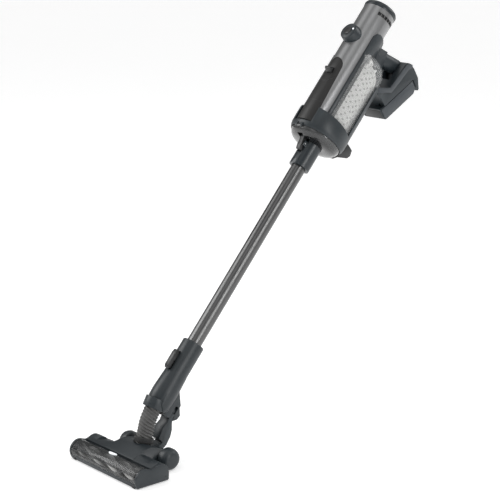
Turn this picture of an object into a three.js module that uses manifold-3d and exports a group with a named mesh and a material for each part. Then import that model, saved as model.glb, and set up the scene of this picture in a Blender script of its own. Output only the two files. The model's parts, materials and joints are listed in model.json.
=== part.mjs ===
// A cordless stick vacuum cleaner with a powered floor head, leaning back in use.
// Millimetres, +Z up, X across the machine, -Y to the front of the floor head.
// The origin is the centre of the hand grip, which is what holds the machine up.
import * as THREE from 'three';
import { mergeVertices } from 'three/addons/utils/BufferGeometryUtils.js';
import Module from 'manifold-3d';

const wasm = await Module();
wasm.setup();

// ---------- driving dimensions ----------
const FIT = 0.3; // gap between two fixed pieces
const RUN = 0.5; // gap around a piece that moves

const LEAN = 41; // lean of the wand from the vertical, degrees
const STICK_Y = 576; // where the bottom ring of the coupler is, from the head's front edge
const STICK_Z = 610; // and above the floor

// handset, in the stick frame: z along the wand, y to the back, 0 at the coupler's bottom ring
const TUBE_R = 40; // motor tube
const TUBE_Y = -31; // its axis, in front of the wand's
const TUBE_WALL = 2.5;
const TUBE_TOP = 424;
const COLLAR_R = 70; // ring round the bottom of the bin
const COLLAR_Z0 = 79;
const COLLAR_Z1 = 121; // its rim at the wand's axis
const COLLAR_SLANT = 9; // the rim is higher at the front, degrees
const BIN_R = 66;
const BIN_WALL = 2;
const BIN_Z0 = 98;
const BIN_FRONT = -40; // flat front of the bin, beside the motor tube
const COUPLER_R = 25;
const COUPLER_TOP = 92;
const GRIP_H = 38;
const GRIP_W = 31;
const GRIP_RISE = 16; // the grip rises outwards, degrees
const PACK_L = 124; // battery pack
const PACK_T = 33;
const PACK_W = 72;
const PACK_TILT = 19;
const TOOL_TOP = 267;
const TOOL_Z0 = 93;

const POD_Z = 333; // control pod on the motor tube
const POD_FRONT = -87;
const DOOR_HINGE_Y = -66.5; // pin that the door swings down on
const DOOR_HINGE_Z = 76;
const DOOR_LATCH_Y = 76; // pivot of the catch that holds it shut
const DOOR_LATCH_Z = 103;

// wand and elbow
const WAND_R = 17.5;
const WAND_WALL = 1.4;
const WAND_TOP = 60;
const WAND_L = 605;
const WAND_END = WAND_TOP - WAND_L;
const DROP = WAND_END + 545; // how far the elbow sits from the place it is drawn at
const ELBOW_TOP = -482;
const ELBOW_R = 26;
const STEER_Z = -634; // steering pin
const STEER_Y = 42;

// floor head: y from its front edge, z from the floor
const HEAD_W = 250;
const CAP_T = 6; // thickness of an end cap
const CHAMBER_Y = 24; // axis of the brush roller
const CHAMBER_Z = 18.5;
const COVER_R = 23.5;
const ROLLER_R = 17.8;
const AXLE_Y = 129; // pitch axis and wheel axle
const AXLE_Z = 24.5;
const WHEEL_R = 24.5;
const WHEEL_X = 61; // inner face of a rear wheel
const WHEEL_T = 28;

const rad = (deg) => (deg * Math.PI) / 180;

// ---------- shape helpers ----------
function strip(geometry) {
  const plain = geometry.clone();
  for (const name of Object.keys(plain.attributes)) {
    if (name !== 'position') plain.deleteAttribute(name);
  }
  const merged = mergeVertices(plain, 1e-4);
  const index = merged.index.array;
  const keep = [];
  for (let i = 0; i < index.length; i += 3) {
    const [a, b, c] = [index[i], index[i + 1], index[i + 2]];
    if (a !== b && b !== c && c !== a) keep.push(a, b, c);
  }
  merged.setIndex(keep);
  return merged;
}

function signedVolume(geometry) {
  const p = geometry.attributes.position;
  const index = geometry.index.array;
  const [a, b, c] = [new THREE.Vector3(), new THREE.Vector3(), new THREE.Vector3()];
  let sum = 0;
  for (let i = 0; i < index.length; i += 3) {
    a.fromBufferAttribute(p, index[i]);
    b.fromBufferAttribute(p, index[i + 1]);
    c.fromBufferAttribute(p, index[i + 2]);
    sum += a.dot(b.cross(c)) / 6;
  }
  return sum;
}

function body(geometry) {
  const clean = strip(geometry);
  const index = Array.from(clean.index.array);
  if (signedVolume(clean) < 0) {
    for (let i = 0; i < index.length; i += 3) {
      [index[i], index[i + 1]] = [index[i + 1], index[i]];
    }
  }
  return new wasm.Manifold(
    new wasm.Mesh({
      numProp: 3,
      vertProperties: new Float32Array(clean.attributes.position.array),
      triVerts: new Uint32Array(index),
    }),
  );
}

function geometryOf(manifold) {
  const mesh = manifold.getMesh();
  const geometry = new THREE.BufferGeometry();
  geometry.setAttribute('position', new THREE.BufferAttribute(mesh.vertProperties, 3));
  geometry.setIndex(new THREE.BufferAttribute(mesh.triVerts, 1));
  return geometry;
}

const join = (first, ...others) => others.reduce((sum, item) => sum.add(item), first);
const cut = (first, ...others) => others.reduce((rest, item) => rest.subtract(item), first);
const common = (first, ...others) => others.reduce((rest, item) => rest.intersect(item), first);

function placed(geometry, { x = 0, y = 0, z = 0, rx = 0, ry = 0, rz = 0 } = {}) {
  const matrix = new THREE.Matrix4().makeRotationFromEuler(
    new THREE.Euler(rad(rx), rad(ry), rad(rz), 'XYZ'),
  );
  matrix.setPosition(x, y, z);
  return geometry.clone().applyMatrix4(matrix);
}

// a box between two corners
function block(x0, x1, y0, y1, z0, z1) {
  const g = new THREE.BoxGeometry(x1 - x0, y1 - y0, z1 - z0);
  return body(g.translate((x0 + x1) / 2, (y0 + y1) / 2, (z0 + z1) / 2));
}

// a box turned about X through a point
function tiltedBlock(half, centre, tilt) {
  const g = new THREE.BoxGeometry(half[0] * 2, half[1] * 2, half[2] * 2);
  return body(placed(g, { y: centre[0], z: centre[1], rx: tilt }));
}

// a solid of revolution about Z from [radius, z] pairs; ends off the axis are closed to a ring
function turned(profile, { x = 0, y = 0, segments = 44 } = {}) {
  const points = profile.map(([r, z]) => new THREE.Vector2(r, z));
  const [first, last] = [points[0], points[points.length - 1]];
  if (first.x > 0 || last.x > 0) points.push(first.clone());
  return body(new THREE.LatheGeometry(points, segments).rotateX(Math.PI / 2).translate(x, y, 0));
}

// a plain cylinder about Z, or along 'x' or 'y'
function rod(r, a, b, { along = 'z', x = 0, y = 0, z = 0, segments = 32 } = {}) {
  const g = new THREE.CylinderGeometry(r, r, b - a, segments).rotateX(Math.PI / 2);
  g.translate(0, 0, (a + b) / 2);
  if (along === 'x') g.rotateY(Math.PI / 2);
  if (along === 'y') g.rotateX(-Math.PI / 2);
  return body(g.translate(x, y, z));
}

// a tube about Z
function ring(outer, inner, a, b, { x = 0, y = 0, segments = 48 } = {}) {
  return turned([[inner, a], [outer, a], [outer, b], [inner, b]], { x, y, segments });
}

function shapeOf(points) {
  return new THREE.Shape(points.map(([u, v]) => new THREE.Vector2(u, v)));
}

// a [y, z] outline pushed along X from a to b
function slabX(points, a, b, bevel = 0) {
  const g = new THREE.ExtrudeGeometry(shapeOf(points), {
    depth: b - a - 2 * bevel,
    bevelEnabled: bevel > 0,
    bevelThickness: bevel,
    bevelSize: bevel,
    bevelOffset: -bevel,
    bevelSegments: 2,
    curveSegments: 8,
  });
  const turn = new THREE.Matrix4().makeBasis(
    new THREE.Vector3(0, 1, 0),
    new THREE.Vector3(0, 0, 1),
    new THREE.Vector3(1, 0, 0),
  );
  return body(g.applyMatrix4(turn).translate(a + bevel, 0, 0));
}

// an [x, z] outline pushed along Y from a to b
function slabY(points, a, b) {
  const g = new THREE.ExtrudeGeometry(shapeOf(points), { depth: b - a, bevelEnabled: false });
  return body(g.rotateX(Math.PI / 2).translate(0, b, 0));
}

// an [x, y] outline pushed along Z from a to b
function slabZ(points, a, b) {
  const g = new THREE.ExtrudeGeometry(shapeOf(points), { depth: b - a, bevelEnabled: false });
  return body(g.translate(0, 0, a));
}

// points of an arc about a centre, degrees
function arc(cx, cy, r, from, to, steps) {
  return Array.from({ length: steps + 1 }, (_, i) => {
    const angle = rad(from + ((to - from) * i) / steps);
    return [cx + r * Math.cos(angle), cy + r * Math.sin(angle)];
  });
}

// a rounded rectangle about the middle
function roundedRect(w, h, r, steps = 4) {
  const [a, b] = [w / 2 - r, h / 2 - r];
  return [
    ...arc(a, b, r, 0, 90, steps),
    ...arc(-a, b, r, 90, 180, steps),
    ...arc(-a, -b, r, 180, 270, steps),
    ...arc(a, -b, r, 270, 360, steps),
  ];
}

// the outline of a bar of changing half-width along a path of [y, z, half] points
function ribbon(path) {
  const left = [];
  const right = [];
  path.forEach(([y, z, half], i) => {
    const before = path[Math.max(i - 1, 0)];
    const after = path[Math.min(i + 1, path.length - 1)];
    const [dy, dz] = [after[0] - before[0], after[1] - before[1]];
    const length = Math.hypot(dy, dz);
    left.push([y - (dz / length) * half, z + (dy / length) * half]);
    right.unshift([y + (dz / length) * half, z - (dy / length) * half]);
  });
  return [...left, ...right];
}

// ---------- colours ----------
const SLATE = { color: 0x43494d, roughness: 0.48, metalness: 0 };
const SLATE_LIGHT = { color: 0x686e72, roughness: 0.45, metalness: 0 };
const BLACK = { color: 0x1b1d1e, roughness: 0.5, metalness: 0 };
const SILVER = { color: 0xa3a3a2, roughness: 0.36, metalness: 0.55 };
const CLEAR = { color: 0xd5d7d6, roughness: 0.12, metalness: 0 };
const SMOKE = { color: 0x6d706d, roughness: 0.15, metalness: 0 };
const ALU = { color: 0x8a8a88, roughness: 0.33, metalness: 0.9 };
const STEEL = { color: 0xc4c6c8, roughness: 0.25, metalness: 1 };
const RUBBER = { color: 0x232425, roughness: 0.85, metalness: 0 };
const FLEECE = { color: 0xc9cac8, roughness: 0.95, metalness: 0 };
const COPPER = { color: 0x8d5a3a, roughness: 0.4, metalness: 0.9 };
const BOARD = { color: 0x1f5a37, roughness: 0.6, metalness: 0 };
const LAMP = { color: 0xf4f6f6, roughness: 0.2, metalness: 0 };

const machine = new THREE.Group();
machine.name = 'stick_vacuum';
const stick = new THREE.Group();
const head = new THREE.Group();
const elbow = new THREE.Group();
elbow.position.z = DROP;
stick.add(elbow);
machine.add(stick, head);

function piece(group, name, manifold, look) {
  const mesh = new THREE.Mesh(geometryOf(manifold), new THREE.MeshStandardMaterial(look));
  mesh.name = name;
  group.add(mesh);
  return mesh;
}

// ---------- handset: motor tube, bin and collar ----------
const HALF = 200; // longer than anything it cuts

const tubeCore = (r, a, b) => rod(r, a, b, { y: TUBE_Y, segments: 56 });

// outline of the stowed tool seen from the front, wider towards its mouth
const toolOutline = (grow) => [
  [-27 - grow, TOOL_Z0 - 60],
  [27 + grow, TOOL_Z0 - 60],
  [27 + grow, TOOL_Z0 + 30],
  ...arc(0, TOOL_TOP - 23, 23 + grow, 0, 180, 12),
  [-27 - grow, TOOL_Z0 + 30],
];
const TOOL_BACK = -56;

// half space above the slanted rim of the collar
const aboveRim = (offset) =>
  body(
    placed(new THREE.BoxGeometry(4 * HALF, 4 * HALF, 2 * HALF).translate(0, 0, HALF), {
      z: COLLAR_Z1 + offset,
      rx: -COLLAR_SLANT,
    }),
  );

const podSeat = rod(8.6, -100, -60, { along: 'y', z: POD_Z });
const tubeWindow = slabY(toolOutline(RUN), -80, TOOL_BACK + 4);
const vents = [];
for (let i = 0; i < 20; i += 1) {
  const turn = 52 + i * 13.5;
  const slot = new THREE.BoxGeometry(8.3, 16, 8.5).translate(0, -TUBE_R, 0);
  vents.push(body(placed(slot.rotateZ(rad(turn)), { y: TUBE_Y, z: 408 })));
}
const tubeBottom = aboveRim(FIT);
piece(
  stick,
  'motor_tube',
  cut(
    common(
      cut(tubeCore(TUBE_R, 100, TUBE_TOP), tubeCore(TUBE_R - TUBE_WALL, 90, TUBE_TOP + 10)),
      tubeBottom,
    ),
    tubeWindow,
    podSeat,
    ...vents,
  ),
  SILVER,
);

// dark band of louvres behind the vents
piece(
  stick,
  'exhaust_grille',
  ring(TUBE_R - TUBE_WALL - FIT, TUBE_R - TUBE_WALL - 3, 399, 418, { y: TUBE_Y, segments: 40 }),
  BLACK,
);

piece(
  stick,
  'end_cap',
  turned(
    [
      [0, 420],
      [TUBE_R - TUBE_WALL - FIT, 420],
      [TUBE_R - TUBE_WALL - FIT, TUBE_TOP + FIT],
      [TUBE_R + 1, TUBE_TOP + FIT],
      [TUBE_R + 1, 432],
      [TUBE_R - 1, 436],
      [TUBE_R - 4, 438],
      [0, 438],
    ],
    { y: TUBE_Y, segments: 56 },
  ),
  SLATE,
);

// back wall of the channel that the tool is stowed in
piece(
  stick,
  'tool_channel',
  common(
    block(-TUBE_R, TUBE_R, TOOL_BACK + FIT, TOOL_BACK + 2.8, TOOL_Z0, 276),
    tubeCore(TUBE_R - TUBE_WALL - 0.4, 80, 300),
    aboveRim(FIT),
  ),
  BLACK,
);

const binProfile = (grow) => [
  [0, BIN_Z0 - 40],
  [BIN_R + grow, BIN_Z0 - 40],
  [BIN_R + grow, 272],
  [BIN_R - 1.5 + grow, 287],
  [BIN_R - 7 + grow, 300],
  [BIN_R - 15 + grow, 310 + grow],
  [BIN_R - 26 + grow, 317 + grow],
  [0, 320 + grow],
];
const behindFront = (y) => block(-HALF, HALF, y, HALF, -HALF, 2 * HALF);
const aboveZ = (z) => block(-HALF, HALF, -HALF, HALF, z, 3 * HALF);
const binOuter = common(turned(binProfile(0)), behindFront(BIN_FRONT), aboveZ(BIN_Z0));
const binInner = cut(
  common(turned(binProfile(-BIN_WALL)), behindFront(BIN_FRONT + BIN_WALL)),
  tubeCore(TUBE_R + FIT + BIN_WALL, 0, 400),
);
piece(stick, 'bin_shell', cut(binOuter, tubeCore(TUBE_R + FIT, 0, 400), binInner), CLEAR);

// ring with a shelf for the bin and a notch for the tool
const collarSolid = cut(
  turned([
    [BIN_R + FIT, COLLAR_Z0 + 6],
    [COLLAR_R - 5, COLLAR_Z0],
    [COLLAR_R - 1.5, COLLAR_Z0 + 6],
    [COLLAR_R, COLLAR_Z0 + 14],
    [COLLAR_R, 150],
    [BIN_R + FIT, 150],
  ], { segments: 64 }),
  aboveRim(0),
);
const frontWeb = cut(
  common(
    block(-44, 44, -HALF, BIN_FRONT - FIT, COLLAR_Z0 + 10, 150),
    turned([[0, 0], [BIN_R + 1, 0], [BIN_R + 1, 150], [0, 150]]),
  ),
  aboveRim(0),
  block(-40, 40, -50, 0, 0, HALF),
);
const toolNotch = join(
  slabY(toolOutline(RUN), -HALF, TOOL_BACK + 3.1).intersect(aboveZ(TOOL_Z0 - 2)),
  aboveRim(0),
);
const doorEars = [-1, 1].map((side) =>
  cut(
    block(side * 8.2 - 2, side * 8.2 + 2, -68.8, -64.4, 73.5, 84),
    rod(1.4, -20, 20, { along: 'x', y: DOOR_HINGE_Y, z: DOOR_HINGE_Z, segments: 12 }),
  ));
const latchEarsRear = [-1, 1].map((side) =>
  cut(
    block(side * 12.2 - 1.6, side * 12.2 + 1.6, 67, 80, 97, 107.5),
    rod(2.4, -20, 20, { along: 'x', y: DOOR_LATCH_Y, z: DOOR_LATCH_Z, segments: 16 }),
    turned([[0, 0], [BIN_R + FIT, 0], [BIN_R + FIT, 400], [0, 400]]),
  ));
piece(
  stick,
  'collar_ring',
  cut(join(cut(join(collarSolid, frontWeb), toolNotch), ...doorEars, ...latchEarsRear)),
  SLATE,
);

// ---------- handset: frame, grip and battery dock ----------
const clearTube = tubeCore(TUBE_R + FIT, 0, 450);
const cheeks = cut(
  common(
    block(-TUBE_R - 10, TUBE_R + 10, BIN_FRONT - 3.2, BIN_FRONT - FIT, 90, 330),
    turned(binProfile(1.5)),
    aboveRim(FIT),
  ),
  clearTube,
);
const SHOULDER_BACK = 54;
const shoulderOutline = [
  [-43.2, 296],
  [-43.2, 352],
  [-38, 363],
  [-30, 367],
  [8, 367],
  [14, 358],
  [SHOULDER_BACK, 369.4],
  [SHOULDER_BACK, 330],
  [SHOULDER_BACK - 8, 320],
  [SHOULDER_BACK - 14, 300],
];
const shoulderPlan = [
  ...arc(0, TUBE_Y, TUBE_R + 3.2, -20, 45, 8),
  [20, TUBE_Y + TUBE_R + 6],
  [15.6, 60],
  [-15.6, 60],
  [-20, TUBE_Y + TUBE_R + 6],
  ...arc(0, TUBE_Y, TUBE_R + 3.2, 135, 200, 8),
];
const GRIP_DIR = [Math.cos(rad(GRIP_RISE)), Math.sin(rad(GRIP_RISE))];
const GRIP_Y = 76; // centre of the grip, and of the whole frame of reference
const GRIP_Z = 356;
const GRIP_A = -32; // its ends along its own axis
const GRIP_B = 26;
const gripCut = tiltedBlock(
  [HALF, 100, 100],
  [GRIP_Y + (GRIP_A + 100 - FIT) * GRIP_DIR[0], GRIP_Z + (GRIP_A + 100 - FIT) * GRIP_DIR[1]],
  GRIP_RISE,
);
const shoulder = cut(
  common(slabX(shoulderOutline, -TUBE_R - 4, TUBE_R + 4), slabZ(shoulderPlan, 280, 380)),
  clearTube,
  turned(binProfile(FIT)),
  gripCut,
);
piece(stick, 'chassis', join(cheeks, shoulder), SLATE);

// outer rail down the back of the bin
const spineSpread = (deg, r) => [
  ...arc(0, 0, r, 90 - deg, 90 + deg, 20),
  ...arc(0, 0, BIN_R + FIT, 90 + deg, 90 - deg, 20),
];
piece(
  stick,
  'rear_spine',
  join(
    common(slabZ(spineSpread(67, 69.3), 90, 258), aboveRim(FIT)),
    common(
      slabZ([[-15, 66], [15, 66], [12, 75.5], [-12, 75.5]], 120, 258),
      cut(
        aboveRim(FIT),
        turned([[0, 0], [BIN_R + FIT, 0], [BIN_R + FIT, 400], [0, 400]], { segments: 56 }),
      ),
    ),
  ),
  SLATE,
);

const gripGeometry = new THREE.ExtrudeGeometry(shapeOf(roundedRect(GRIP_W, GRIP_H, 14, 5)), {
  depth: GRIP_B - GRIP_A,
  bevelEnabled: false,
})
  .rotateX(Math.PI / 2)
  .translate(0, GRIP_B, 0);
piece(
  stick,
  'grip',
  body(placed(gripGeometry, { y: GRIP_Y, z: GRIP_Z, rx: GRIP_RISE })),
  SLATE,
);

// the pack's own frame: s along it, n out from the wand
const PACK_Y = 98.5; // inner bottom corner of the pack
const PACK_Z = 240.6;
const packPoint = (s, n) => [
  PACK_Y + s * Math.sin(rad(PACK_TILT)) + n * Math.cos(rad(PACK_TILT)),
  PACK_Z + s * Math.cos(rad(PACK_TILT)) - n * Math.sin(rad(PACK_TILT)),
];
const dockFace = (n) => [packPoint(PACK_L + 1, n), packPoint(14, n)];
const dockOutline = [
  [76.2, 262],
  [76.2, 278],
  [86, 298],
  [89, 330],
  [92.5, 371],
  [97, 378],
  [106, 382],
  [124, 380],
  [149, 372],
  packPoint(PACK_L + 6, PACK_T - 2),
  packPoint(PACK_L + 1, PACK_T - 1),
  ...dockFace(-FIT),
];
const gripOuter = tiltedBlock(
  [HALF, 100, 100],
  [GRIP_Y + (GRIP_B - 100 + FIT) * GRIP_DIR[0], GRIP_Z + (GRIP_B - 100 + FIT) * GRIP_DIR[1]],
  GRIP_RISE,
);
const gripSocket = common(gripOuter, block(-17, 17, 0, HALF, 320, 400));
const RAIL_X = 20;
const railSlots = [-1, 1].map((side) =>
  body(
    placed(new THREE.BoxGeometry(7, 8, 2 * HALF), {
      x: side * RAIL_X,
      y: packPoint(60, -2)[0],
      z: packPoint(60, -2)[1],
      rx: -PACK_TILT,
    }),
  ),
);
const RELEASE_TILT = -18; // slope of the dock's roof
const releaseBlock = (w, d, z0, z1) => {
  const g = new THREE.BoxGeometry(w, d, z1 - z0).translate(0, 0, (z0 + z1) / 2);
  return body(placed(g, { y: 137, z: 376, rx: RELEASE_TILT }));
};
const dockSolid = cut(
  slabX(dockOutline, -36.6, 36.6),
  gripSocket,
  ...railSlots,
  releaseBlock(25, 13, -5.5, 10),
);
const dockBridge = cut(
  common(
    slabX([[40, 258.5], [40, 274], [76.4, 281], [90, 281], [100, 258.5]], -37, 37),
    cut(
      slabZ([[-37, 40], [37, 40], [37, 76], [24, 100], [-24, 100], [-37, 76]], 250, 300),
      turned([[0, 0], [BIN_R + FIT, 0], [BIN_R + FIT, 400], [0, 400]], { segments: 64 }),
    ),
  ),
  body(
    placed(new THREE.BoxGeometry(4 * HALF, 2 * HALF, 4 * HALF).translate(0, HALF, 0), {
      y: packPoint(0, -FIT)[0],
      z: packPoint(0, -FIT)[1],
      rx: -PACK_TILT,
    }),
  ),
);
piece(stick, 'battery_dock', join(dockSolid, dockBridge), SLATE);
// lighter bands on both sides of the dock
const bandPath = ribbon([
  [50, 263, 6],
  [62, 272, 6],
  [91, 293, 6.5],
  [96, 330, 7],
  [101, 368, 7],
  [112, 380, 4],
]);
for (const [label, side] of [['left', -1], ['right', 1]]) {
  const a = side < 0 ? -39.6 : 37 + FIT;
  const outer = turned(binProfile(FIT), { segments: 64 });
  piece(stick, `dock_band_${label}`, cut(slabX(bandPath, a, a + 2.3), outer), SLATE_LIGHT);
}

piece(stick, 'battery_release', releaseBlock(24, 12, -2.4, 1.2), BLACK);

// battery pack
const packBox = (x0, x1, s0, s1, n0, n1) => {
  const g = new THREE.BoxGeometry(x1 - x0, n1 - n0, s1 - s0);
  const [y, z] = packPoint((s0 + s1) / 2, (n0 + n1) / 2);
  return body(placed(g.translate((x0 + x1) / 2, 0, 0), { y, z, rx: -PACK_TILT }));
};
const packOutline = (grow) =>
  [
    [grow, grow],
    [grow, PACK_T - 5 - grow],
    [5 + grow, PACK_T - grow],
    [PACK_L - 12 - grow, PACK_T - grow],
    [PACK_L - grow, PACK_T - 8 - grow],
    [PACK_L - grow, grow],
  ].map(([s, n]) => packPoint(s, n));
const cellHole = packBox(-29, 29, 5, PACK_L - 6, 5, PACK_T - 5);
const packFeet = [-1, 1].map((side) =>
  packBox(side * RAIL_X - 2.8, side * RAIL_X + 2.8, 24, 100, -3, 2));
piece(
  stick,
  'battery_case',
  cut(
    join(slabX(packOutline(0), -PACK_W / 2 + 3, PACK_W / 2 - 3), ...packFeet),
    cellHole,
    packBox(-29, 29, -9, 6, 5, PACK_T - 5),
  ),
  SLATE,
);
piece(stick, 'battery_base', packBox(-28.6, 28.6, 0.4, 4.4, 5.4, PACK_T - 5.4), BLACK);
const cells = [];
for (let i = 0; i < 3; i += 1) {
  for (const s of [8, 62]) {
    const [y, z] = packPoint(s, PACK_T / 2);
    const cell = new THREE.CylinderGeometry(9.2, 9.2, 54.5, 20).rotateX(Math.PI / 2);
    cells.push(
      body(placed(cell.translate((i - 1) * 18.3, 0, 27), { y, z, rx: -PACK_TILT })),
    );
  }
}
piece(stick, 'battery_cells', join(...cells), { color: 0x2f6f9c, roughness: 0.4, metalness: 0.1 });
for (const [label, side] of [['left', -1], ['right', 1]]) {
  const x = PACK_W / 2 - 3 + FIT;
  const cover = packOutline(2);
  const [a, b] = side < 0 ? [-PACK_W / 2, -x] : [x, PACK_W / 2];
  piece(stick, `battery_cover_${label}`, slabX(cover, a, b), SLATE_LIGHT);
}

// ---------- handset: control pod ----------
const podLathe = new THREE.LatheGeometry(
  [
    [0, 0],
    [26, 0],
    [23, 22],
    [21.5, 31],
    [18, 33.5],
    [10.6, 33.5],
    [10.6, 27],
    [0, 27],
  ].map(([r, h]) => new THREE.Vector2(r, h)),
  40,
)
  .rotateX(Math.PI)
  .translate(0, POD_FRONT + 33.5, POD_Z);
piece(
  stick,
  'control_pod',
  cut(
    body(podLathe),
    tubeCore(TUBE_R + FIT, 200, 424),
    rod(3, -HALF, HALF, { along: 'y', z: POD_Z, segments: 16 }),
    rod(2.6, POD_FRONT - 5, POD_FRONT + 4, { along: 'y', x: 13.5, z: POD_Z + 6, segments: 16 }),
  ),
  SLATE,
);
piece(
  stick,
  'power_button',
  join(
    rod(10, POD_FRONT - 0.8, POD_FRONT + 2.6, { along: 'y', z: POD_Z, segments: 32 }),
    rod(2.6, POD_FRONT + 2, -66, { along: 'y', z: POD_Z, segments: 16 }),
  ),
  BLACK,
);
piece(
  stick,
  'status_lamp',
  rod(2.3, POD_FRONT - 0.4, POD_FRONT + 3.6, { along: 'y', x: 13.5, z: POD_Z + 6, segments: 16 }),
  LAMP,
);

// ---------- handset: stowed tool ----------
const toolSolid = common(
  tubeCore(TUBE_R, TOOL_Z0, TOOL_TOP),
  slabY(toolOutline(0), -HALF, TOOL_BACK),
);
const toolBore = block(-16, 16, -66.5, TOOL_BACK - 2, TOOL_Z0 - 5, TOOL_TOP - 28);
const catchSeat = block(-9, 9, -90, -66, 222, 238);
piece(stick, 'crevice_tool', cut(toolSolid, toolBore, catchSeat), BLACK);
piece(
  stick,
  'tool_catch',
  slabX([[-67, 222.5], [-67, 237.5], [-71, 237.5], [-83, 233], [-83, 228], [-72, 222.5]], -8.5, 8.5),
  BLACK,
);

// ---------- handset: motor, filter and board ----------
const MOTOR_Z = 338;
piece(
  stick,
  'suction_motor',
  cut(
    turned(
      [[0, MOTOR_Z], [24, MOTOR_Z], [24, MOTOR_Z + 46], [18, MOTOR_Z + 52], [0, MOTOR_Z + 52]],
      { y: TUBE_Y, segments: 32 },
    ),
    rod(3.2, MOTOR_Z - 10, MOTOR_Z + 60, { y: TUBE_Y, segments: 16 }),
  ),
  STEEL,
);
piece(
  stick,
  'motor_mount',
  ring(TUBE_R - TUBE_WALL - FIT, 24 + FIT, MOTOR_Z + 4, MOTOR_Z + 12, { y: TUBE_Y, segments: 32 }),
  RUBBER,
);
const blades = [];
for (let i = 0; i < 7; i += 1) {
  const blade = new THREE.BoxGeometry(2, 20, 9).translate(0, 18, 0);
  blade.rotateZ(rad((i * 360) / 7));
  blades.push(body(blade.translate(0, TUBE_Y, MOTOR_Z - 12)));
}
piece(
  stick,
  'impeller',
  join(
    rod(2.8, MOTOR_Z - 20, MOTOR_Z + 56, { y: TUBE_Y, segments: 16 }),
    rod(28, MOTOR_Z - 9, MOTOR_Z - 6, { y: TUBE_Y, segments: 32 }),
    turned([[0, MOTOR_Z - 22], [6, MOTOR_Z - 20], [10, MOTOR_Z - 7], [0, MOTOR_Z - 7]], {
      y: TUBE_Y,
      segments: 20,
    }),
    ...blades,
  ),
  ALU,
);
piece(
  stick,
  'motor_filter',
  ring(TUBE_R - TUBE_WALL - FIT, 12, 286, 304, { y: TUBE_Y, segments: 32 }),
  FLEECE,
);
piece(stick, 'control_board', block(-22, 22, -52.6, -51, 150, 270), BOARD);

// ---------- handset: dust pod ----------
const BAG_T = 3; // thickness of the filled bag's wall as a solid
const MOUTH_R = 15; // inlet through the bag's card
const mouth = rod(MOUTH_R, 100, 140, { y: 38, segments: 28 });
const podR = 58;
const bagProfile = [
  [0, 126],
  [50, 126],
  [podR, 134],
  [podR, 262],
  [54, 282],
  [44, 296],
  [24, 303],
  [0, 304],
];
const bagInside = bagProfile.map(([r, z]) => [
  Math.max(r - BAG_T, 0),
  z < 200 ? z + BAG_T : z - BAG_T,
]);
piece(
  stick,
  'dust_pod',
  cut(
    common(turned(bagProfile, { segments: 40 }), behindFront(BIN_FRONT + 6)),
    tubeCore(TUBE_R + 7, 0, 400),
    cut(
      common(turned(bagInside, { segments: 32 }), behindFront(BIN_FRONT + 6 + BAG_T)),
      tubeCore(TUBE_R + 7 + BAG_T, 0, 400),
    ),
    mouth,
  ),
  FLEECE,
);
piece(
  stick,
  'pod_card',
  cut(
    common(
      turned([[0, 120], [62, 120], [62, 124.5], [0, 124.5]], { segments: 40 }),
      behindFront(BIN_FRONT + 4),
    ),
    tubeCore(TUBE_R + 4, 0, 400),
    mouth,
  ),
  { color: 0x3c3f41, roughness: 0.8, metalness: 0 },
);

// ---------- bin door with the coupler ----------
const BOWL = [
  [COUPLER_R + 0.4, 60.5],
  [38, 61],
  [50, 63],
  [57, 67],
  [61, 73],
  [63.5, 78.6],
];
const bowlInner = BOWL.map(([r, z]) => [r - (r > 45 ? 1.6 : 0), z + 2.2]).reverse();
bowlInner[0] = [61.7, 78.6];
const leverNotch = block(-8.5, 8.5, -52, -COUPLER_R - 0.4, 50, 76);
piece(
  stick,
  'door_bowl',
  cut(
    join(
      turned([...BOWL, ...bowlInner], { segments: 56 }),
      rod(2.5, -5.7, 5.7, { along: 'x', y: DOOR_HINGE_Y, z: DOOR_HINGE_Z, segments: 16 }),
      block(-5.7, 5.7, DOOR_HINGE_Y, -61.5, DOOR_HINGE_Z - 1.4, DOOR_HINGE_Z + 1.4),
    ),
    leverNotch,
    rod(1.4, -20, 20, { along: 'x', y: DOOR_HINGE_Y, z: DOOR_HINGE_Z, segments: 12 }),
  ),
  SMOKE,
);
piece(
  stick,
  'door_hinge_pin',
  rod(1.1, -10, 10, { along: 'x', y: DOOR_HINGE_Y, z: DOOR_HINGE_Z, segments: 12 }),
  STEEL,
);
const couplerSolid = turned([
  [WAND_R + RUN, 0],
  [COUPLER_R, 0],
  [COUPLER_R, 81.6],
  [57, 81.6],
  [58, 84.6],
  [COUPLER_R, 84.6],
  [COUPLER_R, COUPLER_TOP],
  [WAND_R - RUN, COUPLER_TOP],
  [WAND_R - RUN, 62],
  [WAND_R + RUN, 62],
]);
const latchSlot = block(-6.3, 6.3, -HALF, 0, 30, 58);
const latchEars = [-1, 1].map((side) => {
  const x = side * 8.8;
  return block(x - 2, x + 2, -33, -20, 44, 56);
});
piece(
  stick,
  'coupler',
  cut(
    join(couplerSolid, ...latchEars.map((ear) => cut(ear, rod(20, 0, 100)))),
    latchSlot,
    leverNotch,
    rod(2.4, -12, 12, { along: 'x', y: -29, z: 50, segments: 16 }),
  ),
  SLATE,
);
piece(
  stick,
  'wand_latch_pin',
  rod(2.1, -10.6, 10.6, { along: 'x', y: -29, z: 50, segments: 16 }),
  STEEL,
);
piece(
  stick,
  'wand_latch',
  cut(
    slabX(
      [[-25.5, 32], [-WAND_R - 1.9, 33], [-WAND_R - 1.9, 37], [-25, 42], [-25.6, 57], [-37, 73], [-42, 70], [-36, 47],
        [-36, 40], [-33, 32]],
      -5.9,
      5.9,
    ),
    rod(2.5, -12, 12, { along: 'x', y: -29, z: 50, segments: 16 }),
  ),
  BLACK,
);
piece(
  stick,
  'door_seal',
  ring(61.6, 59.6, 79, 81.2, { segments: 48 }),
  RUBBER,
);

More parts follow.
